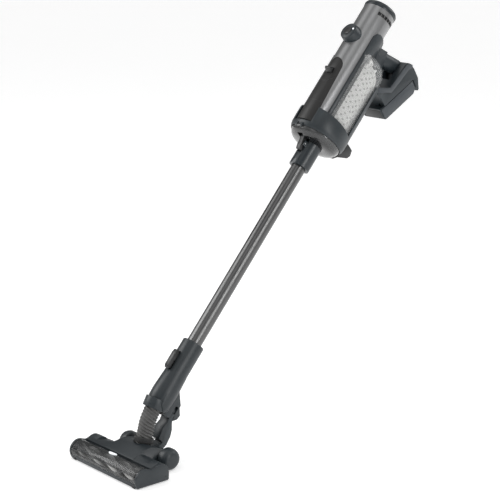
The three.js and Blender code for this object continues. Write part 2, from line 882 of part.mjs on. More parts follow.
// rear catch that holds the door shut
piece(
  stick,
  'door_latch',
  join(
    slabX(
      [[64.2, 77.6], [64.6, 73.6], [69, 73.6], [78, 84], [107, 100.5], [112, 110], [108, 124], [88, 128],
        [79, 124], [77, 108], [71.5, 106], [71.5, 90], [68.6, 80.6], [67.4, 77.6]],
      -10,
      10,
    ),
    rod(2, -13.4, 13.4, { along: 'x', y: DOOR_LATCH_Y, z: DOOR_LATCH_Z, segments: 16 }),
  ),
  BLACK,
);

// ---------- wand ----------
// the wiring duct lies flat against the inside of the wall
const CONDUIT_Y = Math.sqrt((WAND_R - WAND_WALL) ** 2 - 36) - 0.7;
piece(
  stick,
  'wand_tube',
  cut(
    ring(WAND_R, WAND_R - WAND_WALL, WAND_END, WAND_TOP, { segments: 40 }),
    block(-5, 5, -30, 0, 30.5, 39.5),
    block(-5, 5, -30, 0, WAND_END + 11, WAND_END + 20),
  ),
  ALU,
);
piece(
  stick,
  'wand_conduit',
  block(-6, 6, CONDUIT_Y - 6.2, CONDUIT_Y, WAND_END + 2, WAND_TOP - 2),
  BLACK,
);

// ---------- elbow ----------
const CUFF_TURN = 11; // the cuff is turned this much towards the vertical
const CUFF_Y = -6; // middle of its open end
const CUFF_Z = -655;
const bend = (g) => body(placed(g, { y: CUFF_Y, z: CUFF_Z, rx: CUFF_TURN }));
const cuffTube = (r, a, b) =>
  bend(new THREE.CylinderGeometry(r, r, b - a, 48).rotateX(Math.PI / 2).translate(0, 0, (a + b) / 2));
const elbowOuter = cut(
  turned([
    [0, -652],
    [24, -652],
    [28.5, -640],
    [29.3, -610],
    [27.5, -580],
    [ELBOW_R + 0.5, -560],
    [ELBOW_R, -556],
    [ELBOW_R, ELBOW_TOP - 2],
    [ELBOW_R - 1.5, ELBOW_TOP],
    [0, ELBOW_TOP],
  ]),
  cuffTube(26, -40, 24).intersect(block(-HALF, HALF, -HALF, 14, -HALF * 4, 0)),
);
const flange = slabX(
  [
    [6, -586],
    [18, -586],
    [26, -594],
    [35, -603],
    [48, -615.5],
    [48, -622],
    [36.2, -622],
    [36.2, -653.5],
    [22, -656],
    [6, -650],
  ],
  -16,
  16,
);
const ear = slabX(
  [[42, -610], [64, -634], [62, -645], [54, -653], [51.8, -651], [48.2, -641], [48.2, -622], [42, -622]],
  -12.5,
  12.5,
);
piece(
  elbow,
  'elbow_body',
  cut(
    join(elbowOuter, flange, ear),
    rod(WAND_R + RUN, WAND_END - DROP - 3, ELBOW_TOP + 10, { segments: 40 }),
    rod(16.5, -628, -500, { segments: 40 }),
    cuffTube(20.8, -70, 24.4),
    cuffTube(25.5, -70, 24.4),
    cuffTube(14, 20, 40),
    rod(3.4, 25, 90, { along: 'y', z: STEER_Z, segments: 20 }),
    block(-6.3, 6.3, -HALF, 0, -562.5, -516),
  ),
  SLATE,
);
piece(elbow, 'elbow_cuff', cut(cuffTube(25, 0, 24), cuffTube(20.8, -60, 60)), SLATE);
piece(
  elbow,
  'elbow_latch',
  slabX(
    [[-WAND_R - 1.8, -534], [-WAND_R - 1.8, -526], [-25, -522], [-30, -517], [-36, -517], [-38, -524], [-38, -558],
      [-34, -564], [-26.7, -560], [-26.7, -540]],
    -5.9,
    5.9,
  ),
  BLACK,
);
piece(
  elbow,
  'steer_pin',
  rod(3.1, 28, 57, { along: 'y', z: STEER_Z, segments: 20 }),
  STEEL,
);

// ---------- placing the stick and its grip at the origin ----------
const toFloor = (y, z) => [
  STICK_Y + (z - DROP) * Math.sin(rad(LEAN)) + y * Math.cos(rad(LEAN)),
  STICK_Z + (z - DROP) * Math.cos(rad(LEAN)) - y * Math.sin(rad(LEAN)),
];
const [originY, originZ] = toFloor(GRIP_Y, GRIP_Z);
stick.rotation.x = -rad(LEAN);
const [stickY, stickZ] = toFloor(0, 0);
stick.position.set(0, stickY - originY, stickZ - originZ);
head.position.set(0, -originY, -originZ);

// ---------- yoke between elbow and floor head, in the floor frame ----------
const BOOT_R = 22.5; // collar where the hose leaves the floor head
const BOOT_H = 12;
const BOOT_TILT = 17;
// room in the yoke for that collar while the head pitches
const bootRoom = slabX(
  [...arc(AXLE_Y, AXLE_Z, 12, 26, 150, 10), ...arc(AXLE_Y, AXLE_Z, 30.8, 150, 26, 16)],
  -HALF,
  HALF,
);
const [plateY, plateZ] = toFloor(STEER_Y, STEER_Z + DROP);
const armPath = [
  [AXLE_Y, AXLE_Z, 11],
  [145, 28, 11.5],
  [156.5, 39.5, 13.8],
  [165.7, 54.2, 14.6],
  [171.2, 68.3, 13.6],
  [177.6, 80, 6.8],
  [plateY - 9.5, plateZ - 11, 4.9],
  [plateY - 4, plateZ - 4.6, 4.9],
];
const plate = placed(
  new THREE.CylinderGeometry(10.8, 10.8, 10.6, 32),
  { y: plateY, z: plateZ, rx: -LEAN },
);
piece(
  head,
  'yoke',
  cut(
    join(
      rod(11, -25, 25, { along: 'x', y: AXLE_Y, z: AXLE_Z, segments: 32 }),
      cut(slabX(ribbon(armPath), -14.5, 14.5), bootRoom),
      body(plate),
    ),
    rod(4.4, -40, 40, { along: 'x', y: AXLE_Y, z: AXLE_Z, segments: 24 }),
    body(
      placed(new THREE.CylinderGeometry(3.4, 3.4, 80, 20), { y: plateY, z: plateZ, rx: -LEAN }),
    ),
  ),
  SLATE,
);

// ---------- flexible hose ----------
const HOSE_R = 19;
const [hoseTopY, hoseTopZ] = toFloor(CUFF_Y, CUFF_Z + DROP);
const hoseDir = [Math.sin(rad(LEAN - CUFF_TURN)), Math.cos(rad(LEAN - CUFF_TURN))];
const hosePoint = (s) => new THREE.Vector3(0, hoseTopY + s * hoseDir[0], hoseTopZ + s * hoseDir[1]);
const hosePath = new THREE.CatmullRomCurve3([
  new THREE.Vector3(0, 112.5, 42),
  new THREE.Vector3(0, 118.5, 62),
  new THREE.Vector3(0, 127, 92),
  hosePoint(-8),
  hosePoint(4),
  hosePoint(20),
]);
const hoseShape = new THREE.Shape();
hoseShape.absarc(0, 0, HOSE_R, 0, 2 * Math.PI, false);
const hoseHole = new THREE.Path();
hoseHole.absarc(0, 0, HOSE_R - 2, 0, 2 * Math.PI, true);
hoseShape.holes.push(hoseHole);
const hoseGeometry = new THREE.ExtrudeGeometry(hoseShape, {
  steps: 12,
  curveSegments: 10,
  bevelEnabled: false,
  extrudePath: hosePath,
});
piece(head, 'flex_hose', body(hoseGeometry), { color: 0x8b8985, roughness: 0.6, metalness: 0 });

piece(
  head,
  'hose_boot',
  body(
    placed(
      new THREE.LatheGeometry(
        [
          [HOSE_R + 0.6, 0],
          [BOOT_R, 0],
          [BOOT_R, BOOT_H - 3],
          [BOOT_R - 1.5, BOOT_H],
          [HOSE_R + 0.6, BOOT_H],
          [HOSE_R + 0.6, 0],
        ].map(([r, h]) => new THREE.Vector2(r, h)),
        36,
      ).rotateX(Math.PI / 2),
      { y: 114.2, z: 47.6, rx: -BOOT_TILT },
    ),
  ),
  RUBBER,
);

// ---------- floor head ----------
const INNER_X = HEAD_W / 2 - CAP_T;
const sideOutline = [
  ...arc(CHAMBER_Y, CHAMBER_Z, COVER_R + 0.5, 205, 62, 12),
  [44, 37],
  [50, 38],
  ...arc(67, 21, 22.5, 118, 25, 6),
  [90, 20],
  [89, 4],
  [86, 2.5],
  [5, 2.5],
];
const rearLobe = [
  [44.6, 2.5],
  [44.6, 37.2],
  [50, 38],
  ...arc(67, 21, 22.5, 118, 25, 6),
  [90, 20],
  [89, 4],
  [86, 2.5],
];
const frontLip = [
  [3.4, 2.5],
  [2.4, 11.4],
  [5.6, 11.4],
  [10, 5],
  [10, 2.5],
];
const centralSide = [
  [44.6, 2.5],
  [44.6, 38],
  [50, 41],
  [84, 49],
  [100, 51],
  [116, 46],
  [134, 40],
  [147, 28],
  [147, 16],
  [136, 8],
  [120, 4],
];
const centralFront = [
  [-59.5, 0],
  [-59.5, 30],
  [-46, 50],
  [-38, 53],
  [38, 53],
  [46, 50],
  [59.5, 30],
  [59.5, 0],
];
const wideBody = slabX(rearLobe, -INNER_X + FIT, INNER_X - FIT);
const central = common(slabX(centralSide, -60, 60), slabY(centralFront, 40, 160));
const valleys = [-1, 1].map((side) => {
  const g = new THREE.BoxGeometry(34, 60, 30).translate(0, 0, 15);
  return body(placed(g, { x: side * 78, y: 84, z: 38, rx: -8, ry: side * 8 }));
});
const sideWalls = [-1, 1].map((side) => {
  const outer = side * (INNER_X - FIT);
  const inner = side * (INNER_X - FIT - 5);
  return slabX(
    [
      ...arc(CHAMBER_Y, CHAMBER_Z, COVER_R - 3.2, 205, 32, 12),
      [45, 2.5],
      [5, 2.5],
    ],
    Math.min(outer, inner),
    Math.max(outer, inner),
  );
});
const lip = slabX(frontLip, -INNER_X + FIT, INNER_X - FIT);
const MOTOR_Y = 68;
const MOTOR_H = 20;
const wheelPocket = [-1, 1].map((side) =>
  block(Math.min(side * 60, side * 200), Math.max(side * 60, side * 200), 92, HALF, -5, HALF));
const rollerPockets = [-1, 1].flatMap((side) => [
  rod(4.7, side * 110 - 4.5, side * 110 + 4.5, { along: 'x', y: 6, z: 4.2, segments: 20 }),
  rod(1.8, side * 110 - 6.5, side * 110 + 6.5, { along: 'x', y: 6, z: 4.2, segments: 12 }),
]);
piece(
  head,
  'head_body',
  cut(
    join(cut(wideBody, ...valleys), central, ...sideWalls, lip),
    rod(COVER_R - 3, -INNER_X + 6, INNER_X - 6, {
      along: 'x',
      y: CHAMBER_Y,
      z: CHAMBER_Z,
      segments: 40,
    }),
    rod(COVER_R + 0.4, -INNER_X + 6, INNER_X - 6, {
      along: 'x',
      y: CHAMBER_Y,
      z: CHAMBER_Z,
      segments: 40,
    }).intersect(block(-HALF, HALF, 20, 48, 8, HALF)),
    block(-25.6, 25.6, 113, 200, -10, 100),
    rod(4.4, -70, 70, { along: 'x', y: AXLE_Y, z: AXLE_Z, segments: 24 }),
    body(
      placed(new THREE.CylinderGeometry(HOSE_R + 1.5, HOSE_R + 1.5, 50, 32).rotateX(Math.PI / 2), {
        y: 115,
        z: 60,
        rx: -10,
      }),
    ),
    block(-110, 50, 52, 84, 6, 34),
    block(50, 113, 48, 84, 6, 34),
    block(98, 113, 36, 60, 6.5, 31),
    ...wheelPocket,
    ...rollerPockets,
    block(-13, 13, 30, 43.5, 33, 60),
  ),
  SLATE,
);
const coverArc = [
  ...arc(CHAMBER_Y, CHAMBER_Z, COVER_R, 196, 38, 20),
  ...arc(CHAMBER_Y, CHAMBER_Z, COVER_R - 2, 38, 196, 20),
];
const coverSlots = [[-98, -50], [-40, 56], [66, 118]].map(([a, b]) =>
  slabY([[a, 22], [a + 8, 18.5], [b - 12, 19.5], [b, 23], [b - 6, 27], [a + 10, 26.5]], -10, 14));
const coverNotches = [
  [[-106, 60], [-100, 38], [-72, 38.5], [-60, 60]],
  [[-34, 60], [-30, 35], [-15, 31], [-14, 60]],
  [[14, 60], [24, 38], [52, 29], [84, 33], [94, 60]],
].map((outline) => slabZ(outline, 25, 60));
piece(
  head,
  'front_cover',
  cut(
    slabX(coverArc, -INNER_X + FIT, INNER_X - FIT),
    ...coverSlots,
    ...coverNotches,
    body(placed(new THREE.CylinderGeometry(7.6, 7.6, 30, 24).rotateX(Math.PI / 2).scale(1.6, 1, 1), {
      y: 31,
      z: 44,
    })),
  ),
  SMOKE,
);
piece(
  head,
  'head_lamp',
  common(
    body(
      placed(new THREE.CylinderGeometry(7.2, 7.2, 30, 24).rotateX(Math.PI / 2).scale(1.6, 1, 1), {
        y: 31,
        z: 44,
      }),
    ),
    slabX(
      [
        ...arc(CHAMBER_Y, CHAMBER_Z, COVER_R + 1.2, 120, 30, 10),
        ...arc(CHAMBER_Y, CHAMBER_Z, COVER_R - 2.4, 30, 120, 10),
      ],
      -20,
      20,
    ),
  ),
  LAMP,
);
for (const [label, side] of [['left', -1], ['right', 1]]) {
  const [a, b] = side < 0 ? [-HEAD_W / 2, -INNER_X] : [INNER_X, HEAD_W / 2];
  piece(head, `head_cap_${label}`, slabX(sideOutline, a, b, 1.2), SLATE);
  const wheelProfile = [
    [4.6, WHEEL_X],
    [WHEEL_R - 3, WHEEL_X],
    [WHEEL_R, WHEEL_X + 3],
    [WHEEL_R, WHEEL_X + 15],
    [WHEEL_R - 2.5, WHEEL_X + 22],
    [WHEEL_R - 8, WHEEL_X + 27],
    [WHEEL_R - 14, WHEEL_X + WHEEL_T],
    [0, WHEEL_X + WHEEL_T],
    [0, WHEEL_X + WHEEL_T - 5],
    [4.6, WHEEL_X + WHEEL_T - 5],
  ].map(([r, x]) => new THREE.Vector2(r, x));
  wheelProfile.push(wheelProfile[0].clone());
  const wheel = new THREE.LatheGeometry(wheelProfile, 40).rotateZ(-Math.PI / 2);
  if (side < 0) wheel.rotateY(Math.PI);
  piece(head, `rear_wheel_${label}`, body(wheel.translate(0, AXLE_Y, AXLE_Z)), SLATE);
  piece(
    head,
    `front_roller_${label}`,
    join(
      rod(4.2, side * 110 - 4, side * 110 + 4, { along: 'x', y: 6, z: 4.2, segments: 20 }),
      rod(1.3, side * 110 - 6, side * 110 + 6, { along: 'x', y: 6, z: 4.2, segments: 12 }),
    ),
    BLACK,
  );
}
piece(
  head,
  'wheel_axle',
  rod(4.1, -WHEEL_X - WHEEL_T + 7, WHEEL_X + WHEEL_T - 7, {
    along: 'x',
    y: AXLE_Y,
    z: AXLE_Z,
    segments: 24,
  }),
  STEEL,
);
const fins = [];
for (let i = 0; i < 4; i += 1) {
  const fin = new THREE.BoxGeometry(208, 3, ROLLER_R).translate(-3, 0, ROLLER_R / 2);
  fins.push(body(placed(fin, { y: CHAMBER_Y, z: CHAMBER_Z, rx: i * 90 + 20 })));
}
piece(
  head,
  'brush_roller',
  join(
    rod(12.5, -110, 101, { along: 'x', y: CHAMBER_Y, z: CHAMBER_Z, segments: 28 }),
    rod(3, -112, 112, { along: 'x', y: CHAMBER_Y, z: CHAMBER_Z, segments: 16 }),
    rod(9, 101, 110.5, { along: 'x', y: CHAMBER_Y, z: CHAMBER_Z, segments: 28 }),
    ...fins,
  ),
  { color: 0x5c5f60, roughness: 0.7, metalness: 0 },
);
piece(
  head,
  'brush_motor',
  rod(13, 0, 92, { along: 'x', y: MOTOR_Y, z: MOTOR_H, segments: 28 }),
  STEEL,
);
piece(
  head,
  'motor_pulley',
  rod(6, 101.5, 110.5, { along: 'x', y: MOTOR_Y, z: MOTOR_H, segments: 24 }),
  BLACK,
);
const beltLoop = (grow) => [
  ...arc(CHAMBER_Y, CHAMBER_Z, 9.5 + grow, 96, 268, 14),
  ...arc(MOTOR_Y, MOTOR_H, 6.4 + grow, 272, 444, 12),
];
piece(
  head,
  'drive_belt',
  cut(slabX(beltLoop(1.2), 102.5, 109.5), slabX(beltLoop(0), 100, 112)),
  RUBBER,
);

export default machine;
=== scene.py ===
"""Looks for a cordless stick vacuum cleaner, built round its CAD frame."""

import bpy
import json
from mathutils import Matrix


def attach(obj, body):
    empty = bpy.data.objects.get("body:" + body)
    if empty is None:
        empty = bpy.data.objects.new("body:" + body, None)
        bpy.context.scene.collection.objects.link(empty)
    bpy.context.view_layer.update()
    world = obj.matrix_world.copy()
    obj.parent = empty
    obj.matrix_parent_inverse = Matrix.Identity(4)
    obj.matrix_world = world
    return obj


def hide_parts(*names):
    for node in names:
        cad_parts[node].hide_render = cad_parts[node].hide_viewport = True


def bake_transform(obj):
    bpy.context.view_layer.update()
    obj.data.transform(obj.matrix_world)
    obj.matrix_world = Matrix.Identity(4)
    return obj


bl_info = {
    "name": "Stick Vacuum Looks",
    "version": (1, 0, 0),
    "blender": (4, 5, 0),
    "location": "3D View > Sidebar > Stick Vacuum",
    "description": "Builds the finished surfaces of a cordless stick vacuum cleaner",
    "category": "Object",
}

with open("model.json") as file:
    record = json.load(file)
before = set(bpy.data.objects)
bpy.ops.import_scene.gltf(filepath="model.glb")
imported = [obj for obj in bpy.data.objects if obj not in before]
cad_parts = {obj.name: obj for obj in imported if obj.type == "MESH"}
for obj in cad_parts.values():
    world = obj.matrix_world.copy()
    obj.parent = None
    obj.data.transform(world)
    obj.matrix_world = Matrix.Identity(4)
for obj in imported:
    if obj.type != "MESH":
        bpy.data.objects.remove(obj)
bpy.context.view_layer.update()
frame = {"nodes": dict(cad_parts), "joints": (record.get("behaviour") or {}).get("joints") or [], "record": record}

import json
import math

import bmesh
import bpy
from bpy.props import FloatProperty, FloatVectorProperty, IntProperty, PointerProperty
from mathutils import Matrix, Vector, noise

MM = 0.001
JOINTS = {joint["name"]: joint for joint in frame["joints"]}
BODY_OF = {
    node: body
    for body, nodes in frame["record"]["behaviour"]["bodies"].items()
    for node in nodes
}

# the stick's own axes: up along the wand, back towards the battery
UP = -Vector(JOINTS["wand_pull"]["axis"])
BACK = Vector(JOINTS["neck_steer"]["axis"])
RIGHT = Vector((1.0, 0.0, 0.0))
FAN = Vector(JOINTS["fan_spin"]["pos_m"])
TUBE_Y = -31.0  # axis of the motor tube, in millimetres in front of the wand's
FAN_Z = 338.0
STICK_ORIGIN = FAN - BACK * TUBE_Y * MM - UP * FAN_Z * MM
STICK = Matrix.Translation(STICK_ORIGIN) @ Matrix((RIGHT, BACK, UP)).transposed().to_4x4()
LEAN = math.atan2(UP.y, UP.z)

# the floor head's own axes are the frame's; its corner is on the floor below its front edge
AXLE = Vector(JOINTS["head_pitch"]["pos_m"])
AXLE_Y = 129.0
AXLE_Z = 24.5
HEAD = Matrix.Translation(AXLE - Vector((0.0, AXLE_Y, AXLE_Z)) * MM)
FLOOR_Z = HEAD.translation.z

# places on the stick and the head, in millimetres
LOUVRE_Z = 408.5
CAP_SEAM_Z = 430.2
BAG_LOW = 126.5
BAG_HIGH = 303.0
CUFF_Y = -6.0
CUFF_Z = -655.0
CUFF_TURN = 11.0  # degrees that the cuff is turned towards the vertical
CAMERA_AT = (2618.6, -1820.9, 1282.3)
CAMERA_TARGET = (122.3, 321.8, 476.1)


def on_stick(x, y, z):
    """A point of the stick's own axes, given in millimetres."""
    return STICK @ (Vector((x, y, z)) * MM)


def on_head(x, y, z):
    """A point of the floor head's own axes, given in millimetres."""
    return HEAD @ (Vector((x, y, z)) * MM)


# ---------- materials ----------


class Finish:
    """A material with a Principled shader and short calls to add its nodes."""

    def __init__(self, name, **constants):
        self.material = bpy.data.materials.new(name)
        self.material.use_nodes = True
        self.tree = self.material.node_tree
        self.tree.nodes.clear()
        self.output = self.add("ShaderNodeOutputMaterial")
        self.shader = self.add("ShaderNodeBsdfPrincipled")
        self.link(self.shader, "BSDF", self.output, "Surface")
        for socket, value in constants.items():
            self.shader.inputs[socket.replace("_", " ")].default_value = value

    def add(self, kind, **values):
        node = self.tree.nodes.new(kind)
        for key, value in values.items():
            setattr(node, key, value)
        return node

    def link(self, source, output, target, socket):
        self.tree.links.new(source.outputs[output], target.inputs[socket])

    def coordinates(self, scale, turn=(0.0, 0.0, 0.0), uv=None):
        """Object coordinates, or a UV map, scaled and turned."""
        if uv:
            where, output = self.add("ShaderNodeUVMap", uv_map=uv), "UV"
        else:
            where, output = self.add("ShaderNodeTexCoord"), "Object"
        mapping = self.add("ShaderNodeMapping")
        mapping.inputs["Scale"].default_value = scale
        mapping.inputs["Rotation"].default_value = turn
        self.link(where, output, mapping, "Vector")
        return mapping

    def noise(self, mapping, scale, detail=3.0, roughness=0.55):
        grain = self.add("ShaderNodeTexNoise")
        grain.inputs["Scale"].default_value = scale
        grain.inputs["Detail"].default_value = detail
        grain.inputs["Roughness"].default_value = roughness
        self.link(mapping, "Vector", grain, "Vector")
        return grain

    def range(self, source, output, low, high, from_low=0.0, from_high=1.0):
        """A number brought from one range to another."""
        node = self.add("ShaderNodeMapRange")
        for socket, value in (
            ("From Min", from_low),
            ("From Max", from_high),
            ("To Min", low),
            ("To Max", high),
        ):
            node.inputs[socket].default_value = value
        self.link(source, output, node, "Value")
        return node

    def blend(self, factor, output, first, second):
        """One of two colours by a factor; either may be a node's Result."""
        node = self.add("ShaderNodeMix", data_type="RGBA")
        self.link(factor, output, node, "Factor")
        for socket, value in (("A", first), ("B", second)):
            target = [s for s in node.inputs if s.name == socket and s.type == "RGBA"][0]
            if isinstance(value, bpy.types.Node):
                self.tree.links.new(self.colour_of(value), target)
            else:
                target.default_value = (*value[:3], 1.0)
        return node

    @staticmethod
    def colour_of(node):
        return [s for s in node.outputs if s.type == "RGBA"][0]

    def paint(self, node):
        self.tree.links.new(self.colour_of(node), self.shader.inputs["Base Color"])

    def bump(self, source, output, distance, strength=1.0, after=None):
        node = self.add("ShaderNodeBump")
        node.inputs["Distance"].default_value = distance
        node.inputs["Strength"].default_value = strength
        self.link(source, output, node, "Height")
        if after:
            self.link(after, "Normal", node, "Normal")
        self.link(node, "Normal", self.shader, "Normal")
        return node

    def edge_wear(self, base, worn, amount):
        """Edges rubbed a little lighter."""
        geometry = self.add("ShaderNodeNewGeometry")
        edge = self.range(geometry, "Pointiness", 0.0, amount, 0.52, 0.6)
        return self.blend(edge, "Result", base, worn)


def shade(colour, factor):
    return tuple(min(channel * factor, 1.0) for channel in colour[:3])


def moulded_plastic(name, colour, rough=0.42, grain=1500.0, depth=0.00004, wear=0.35, **extra):
    """Injection-moulded plastic with a spark-eroded grain and rubbed edges."""
    finish = Finish(name, IOR=1.49, **extra)
    mapping = finish.coordinates((1.0, 1.0, 1.0))
    fine = finish.noise(mapping, grain, 2.0)
    broad = finish.noise(mapping, 22.0, 3.0)
    tone = finish.blend(broad, "Fac", shade(colour, 0.9), shade(colour, 1.1))
    finish.paint(finish.edge_wear(tone, shade(colour, 2.1), wear))
    finish.link(finish.range(broad, "Fac", rough - 0.05, rough + 0.07), "Result", finish.shader,
                "Roughness")
    finish.bump(fine, "Fac", depth)
    return finish.material


def silver_lacquer(name, colour):
    """Metallic silver lacquer under a clear coat, with lengthwise light and dark reflection streaks painted into
    its colour.
    """
    finish = Finish(name, Metallic=0.72, Coat_Weight=0.35, Coat_Roughness=0.12)
    mapping = finish.coordinates((1.0, 1.0, 1.0))
    flake = finish.add("ShaderNodeTexVoronoi")
    flake.inputs["Scale"].default_value = 2600.0
    finish.link(mapping, "Vector", flake, "Vector")
    broad = finish.noise(mapping, 14.0, 2.0)
    # painted reflections: lengthwise light and dark streaks along the stick's axis, lighter and darker than the
    # lacquer
    painted_reflection_streaks = finish.noise(finish.coordinates((90.0, 90.0, 1.5), (LEAN, 0.0, 0.0)), 1.0, 2.0)
    tone = finish.blend(painted_reflection_streaks, "Fac", shade(colour, 0.84), shade(colour, 1.16))
    finish.paint(finish.edge_wear(tone, shade(colour, 1.5), 0.4))
    finish.link(finish.range(broad, "Fac", 0.27, 0.38), "Result", finish.shader, "Roughness")
    finish.bump(flake, "Distance", 0.00001)
    return finish.material


def drawn_metal(name, colour, rough, turn=(0.0, 0.0, 0.0), along=(1400.0, 1400.0, 9.0)):
    """Metal with fine lines along its length."""
    finish = Finish(name, Metallic=1.0, Anisotropic=0.45)
    mapping = finish.coordinates(along, turn)
    lines = finish.noise(mapping, 1.0, 4.0, 0.6)
    broad = finish.noise(finish.coordinates((1.0, 1.0, 1.0)), 30.0, 2.0)
    finish.paint(finish.blend(lines, "Fac", shade(colour, 0.86), shade(colour, 1.1)))
    finish.link(finish.range(broad, "Fac", rough - 0.05, rough + 0.07), "Result", finish.shader,
                "Roughness")
    finish.bump(lines, "Fac", 0.00002)
    return finish.material


def clear_plastic(name, colour, rough, transmission, alpha=1.0):
    """See-through plastic with faint rubbing marks."""
    finish = Finish(name, IOR=1.47, Transmission_Weight=transmission, Alpha=alpha)
    mapping = finish.coordinates((1.0, 1.0, 1.0))
    haze = finish.noise(mapping, 60.0, 4.0, 0.6)
    marks = finish.noise(finish.coordinates((900.0, 900.0, 40.0), (LEAN, 0.0, 0.0)), 1.0, 2.0)
    finish.paint(finish.blend(haze, "Fac", shade(colour, 0.96), shade(colour, 1.03)))
    finish.link(finish.range(haze, "Fac", rough, rough + 0.06), "Result", finish.shader,
                "Roughness")
    finish.bump(marks, "Fac", 0.000004)
    return finish.material


def fleece(name, colour, dots):
    """Nonwoven fleece with embossed dots and loose fibres."""
    finish = Finish(name, Roughness=0.95, Sheen_Weight=0.3)
    mapping = finish.coordinates((1.0, 1.0, 1.0))
    fibre = finish.noise(mapping, 1100.0, 5.0, 0.7)
    cloud = finish.noise(mapping, 45.0, 3.0)
    tone = finish.blend(cloud, "Fac", shade(colour, 0.93), shade(colour, 1.05))
    first = finish.bump(fibre, "Fac", 0.00025)
    if dots:
        grid = finish.coordinates((95.0, 95.0, 1.0), (0.0, 0.0, math.radians(40)), uv="cloth")
        cells = finish.add("ShaderNodeTexVoronoi", voronoi_dimensions="2D")
        cells.inputs["Scale"].default_value = 1.0
        cells.inputs["Randomness"].default_value = 0.28
        finish.link(grid, "Vector", cells, "Vector")
        press = finish.range(cells, "Distance", 1.0, 0.0, 0.14, 0.28)
        tone = finish.blend(press, "Result", tone, shade(colour, 0.52))
        lift = finish.range(press, "Result", 1.0, 0.0)
        finish.bump(lift, "Result", 0.0006, after=first)
    finish.paint(tone)
    return finish.material


def soft_rubber(name, colour, rough=0.7):
    """Matt rubber with a dusty bloom."""
    finish = Finish(name, IOR=1.5)
    mapping = finish.coordinates((1.0, 1.0, 1.0))
    bloom = finish.noise(mapping, 80.0, 4.0)
    fine = finish.noise(mapping, 1800.0, 2.0)
    finish.paint(finish.blend(bloom, "Fac", shade(colour, 0.8), shade(colour, 1.25)))
    finish.link(finish.range(bloom, "Fac", rough - 0.08, rough + 0.1), "Result", finish.shader,
                "Roughness")
    finish.bump(fine, "Fac", 0.00004)
    return finish.material


def smoked_bowl(name, colour, dark, inner, outer):
    """Smoked plastic with painted shade near the stick's axis, for the shaded recess round the coupler and the
    dark duct seen through it.
    """
    finish = Finish(name, IOR=1.47, Transmission_Weight=0.25, Coat_Weight=0.3)
    axis = finish.add("ShaderNodeMapping", vector_type="TEXTURE")
    axis.inputs["Location"].default_value = STICK_ORIGIN
    axis.inputs["Rotation"].default_value = (-LEAN, 0.0, 0.0)
    where = finish.add("ShaderNodeTexCoord")
    finish.link(where, "Object", axis, "Vector")
    split = finish.add("ShaderNodeSeparateXYZ")
    finish.link(axis, "Vector", split, "Vector")
    flat = finish.add("ShaderNodeCombineXYZ")
    finish.link(split, "X", flat, "X")
    finish.link(split, "Y", flat, "Y")
    radius = finish.add("ShaderNodeVectorMath", operation="LENGTH")
    finish.link(flat, "Vector", radius, "Vector")
    # painted shade: the dark colour near the stick's axis, fading to the smoked tone between the inner and outer
    # radii
    reach = finish.range(radius, "Value", 0.0, 1.0, inner, outer)
    haze = finish.noise(axis, 45.0, 3.0)
    tone = finish.blend(haze, "Fac", shade(colour, 0.9), shade(colour, 1.08))
    finish.paint(finish.blend(reach, "Result", dark, tone))
    finish.link(finish.range(haze, "Fac", 0.12, 0.24), "Result", finish.shader, "Roughness")
    return finish.material


def lens(name, colour, glow):
    """A milky lens with a faint light behind it."""
    finish = Finish(name, IOR=1.49, Roughness=0.2, Emission_Color=(*colour, 1.0),
                    Emission_Strength=glow)
    cloud = finish.noise(finish.coordinates((1.0, 1.0, 1.0)), 400.0, 2.0)
    finish.paint(finish.blend(cloud, "Fac", shade(colour, 0.9), colour))
    return finish.material


def bristle_pile(name, colour):
    """Short nylon pile with lighter tips, in slanting rows."""
    finish = Finish(name, Roughness=0.8, Sheen_Weight=0.2)
    pile = finish.noise(finish.coordinates((60.0, 900.0, 900.0)), 1.0, 4.0, 0.7)
    rows = finish.add("ShaderNodeTexWave", wave_type="BANDS", bands_direction="DIAGONAL")
    rows.inputs["Scale"].default_value = 9.0
    rows.inputs["Distortion"].default_value = 0.6
    finish.link(finish.coordinates((1.0, 1.0, 1.0)), "Vector", rows, "Vector")
    dark = finish.blend(pile, "Fac", shade(colour, 0.25), shade(colour, 0.6))
    light = finish.blend(pile, "Fac", shade(colour, 1.2), shade(colour, 2.2))
    finish.paint(finish.blend(rows, "Fac", dark, light))
    finish.bump(pile, "Fac", 0.0004)
    return finish.material


# ---------- meshes ----------


def new_piece(name, mesh, body, material, replaces=()):
    """A finished object at the origin that rides on one body."""
    piece = bpy.data.objects.new(name, mesh)
    bpy.context.scene.collection.objects.link(piece)
    mesh.materials.clear()
    mesh.materials.append(material)
    if body:
        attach(piece, body)
    if replaces:
        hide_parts(*replaces)
    return piece


def soften(mesh, angle):
    """Smooth faces that break only at real edges."""
    work = bmesh.new()
    work.from_mesh(mesh)
    for edge in work.edges:
        edge.smooth = len(edge.link_faces) == 2 and edge.calc_face_angle(0.0) < angle
    for face in work.faces:
        face.smooth = True
    work.to_mesh(mesh)
    work.free()


def baked(source, name):
    """The plain mesh that an object and its modifiers give."""
    bpy.context.view_layer.update()
    depsgraph = bpy.context.evaluated_depsgraph_get()
    mesh = bpy.data.meshes.new_from_object(source.evaluated_get(depsgraph), depsgraph=depsgraph)
    mesh.name = name
    bpy.data.objects.remove(source)
    return mesh


def clean_copy(node):
    """The merged copy of a CAD node's mesh, with flat faces made whole."""
    mesh = frame["nodes"][node].data.copy()
    work = bmesh.new()
    work.from_mesh(mesh)
    bmesh.ops.remove_doubles(work, verts=work.verts, dist=2e-6)
    bmesh.ops.dissolve_limit(
        work, angle_limit=math.radians(0.6), verts=work.verts, edges=work.edges
    )
    work.to_mesh(mesh)
    work.free()
    return mesh


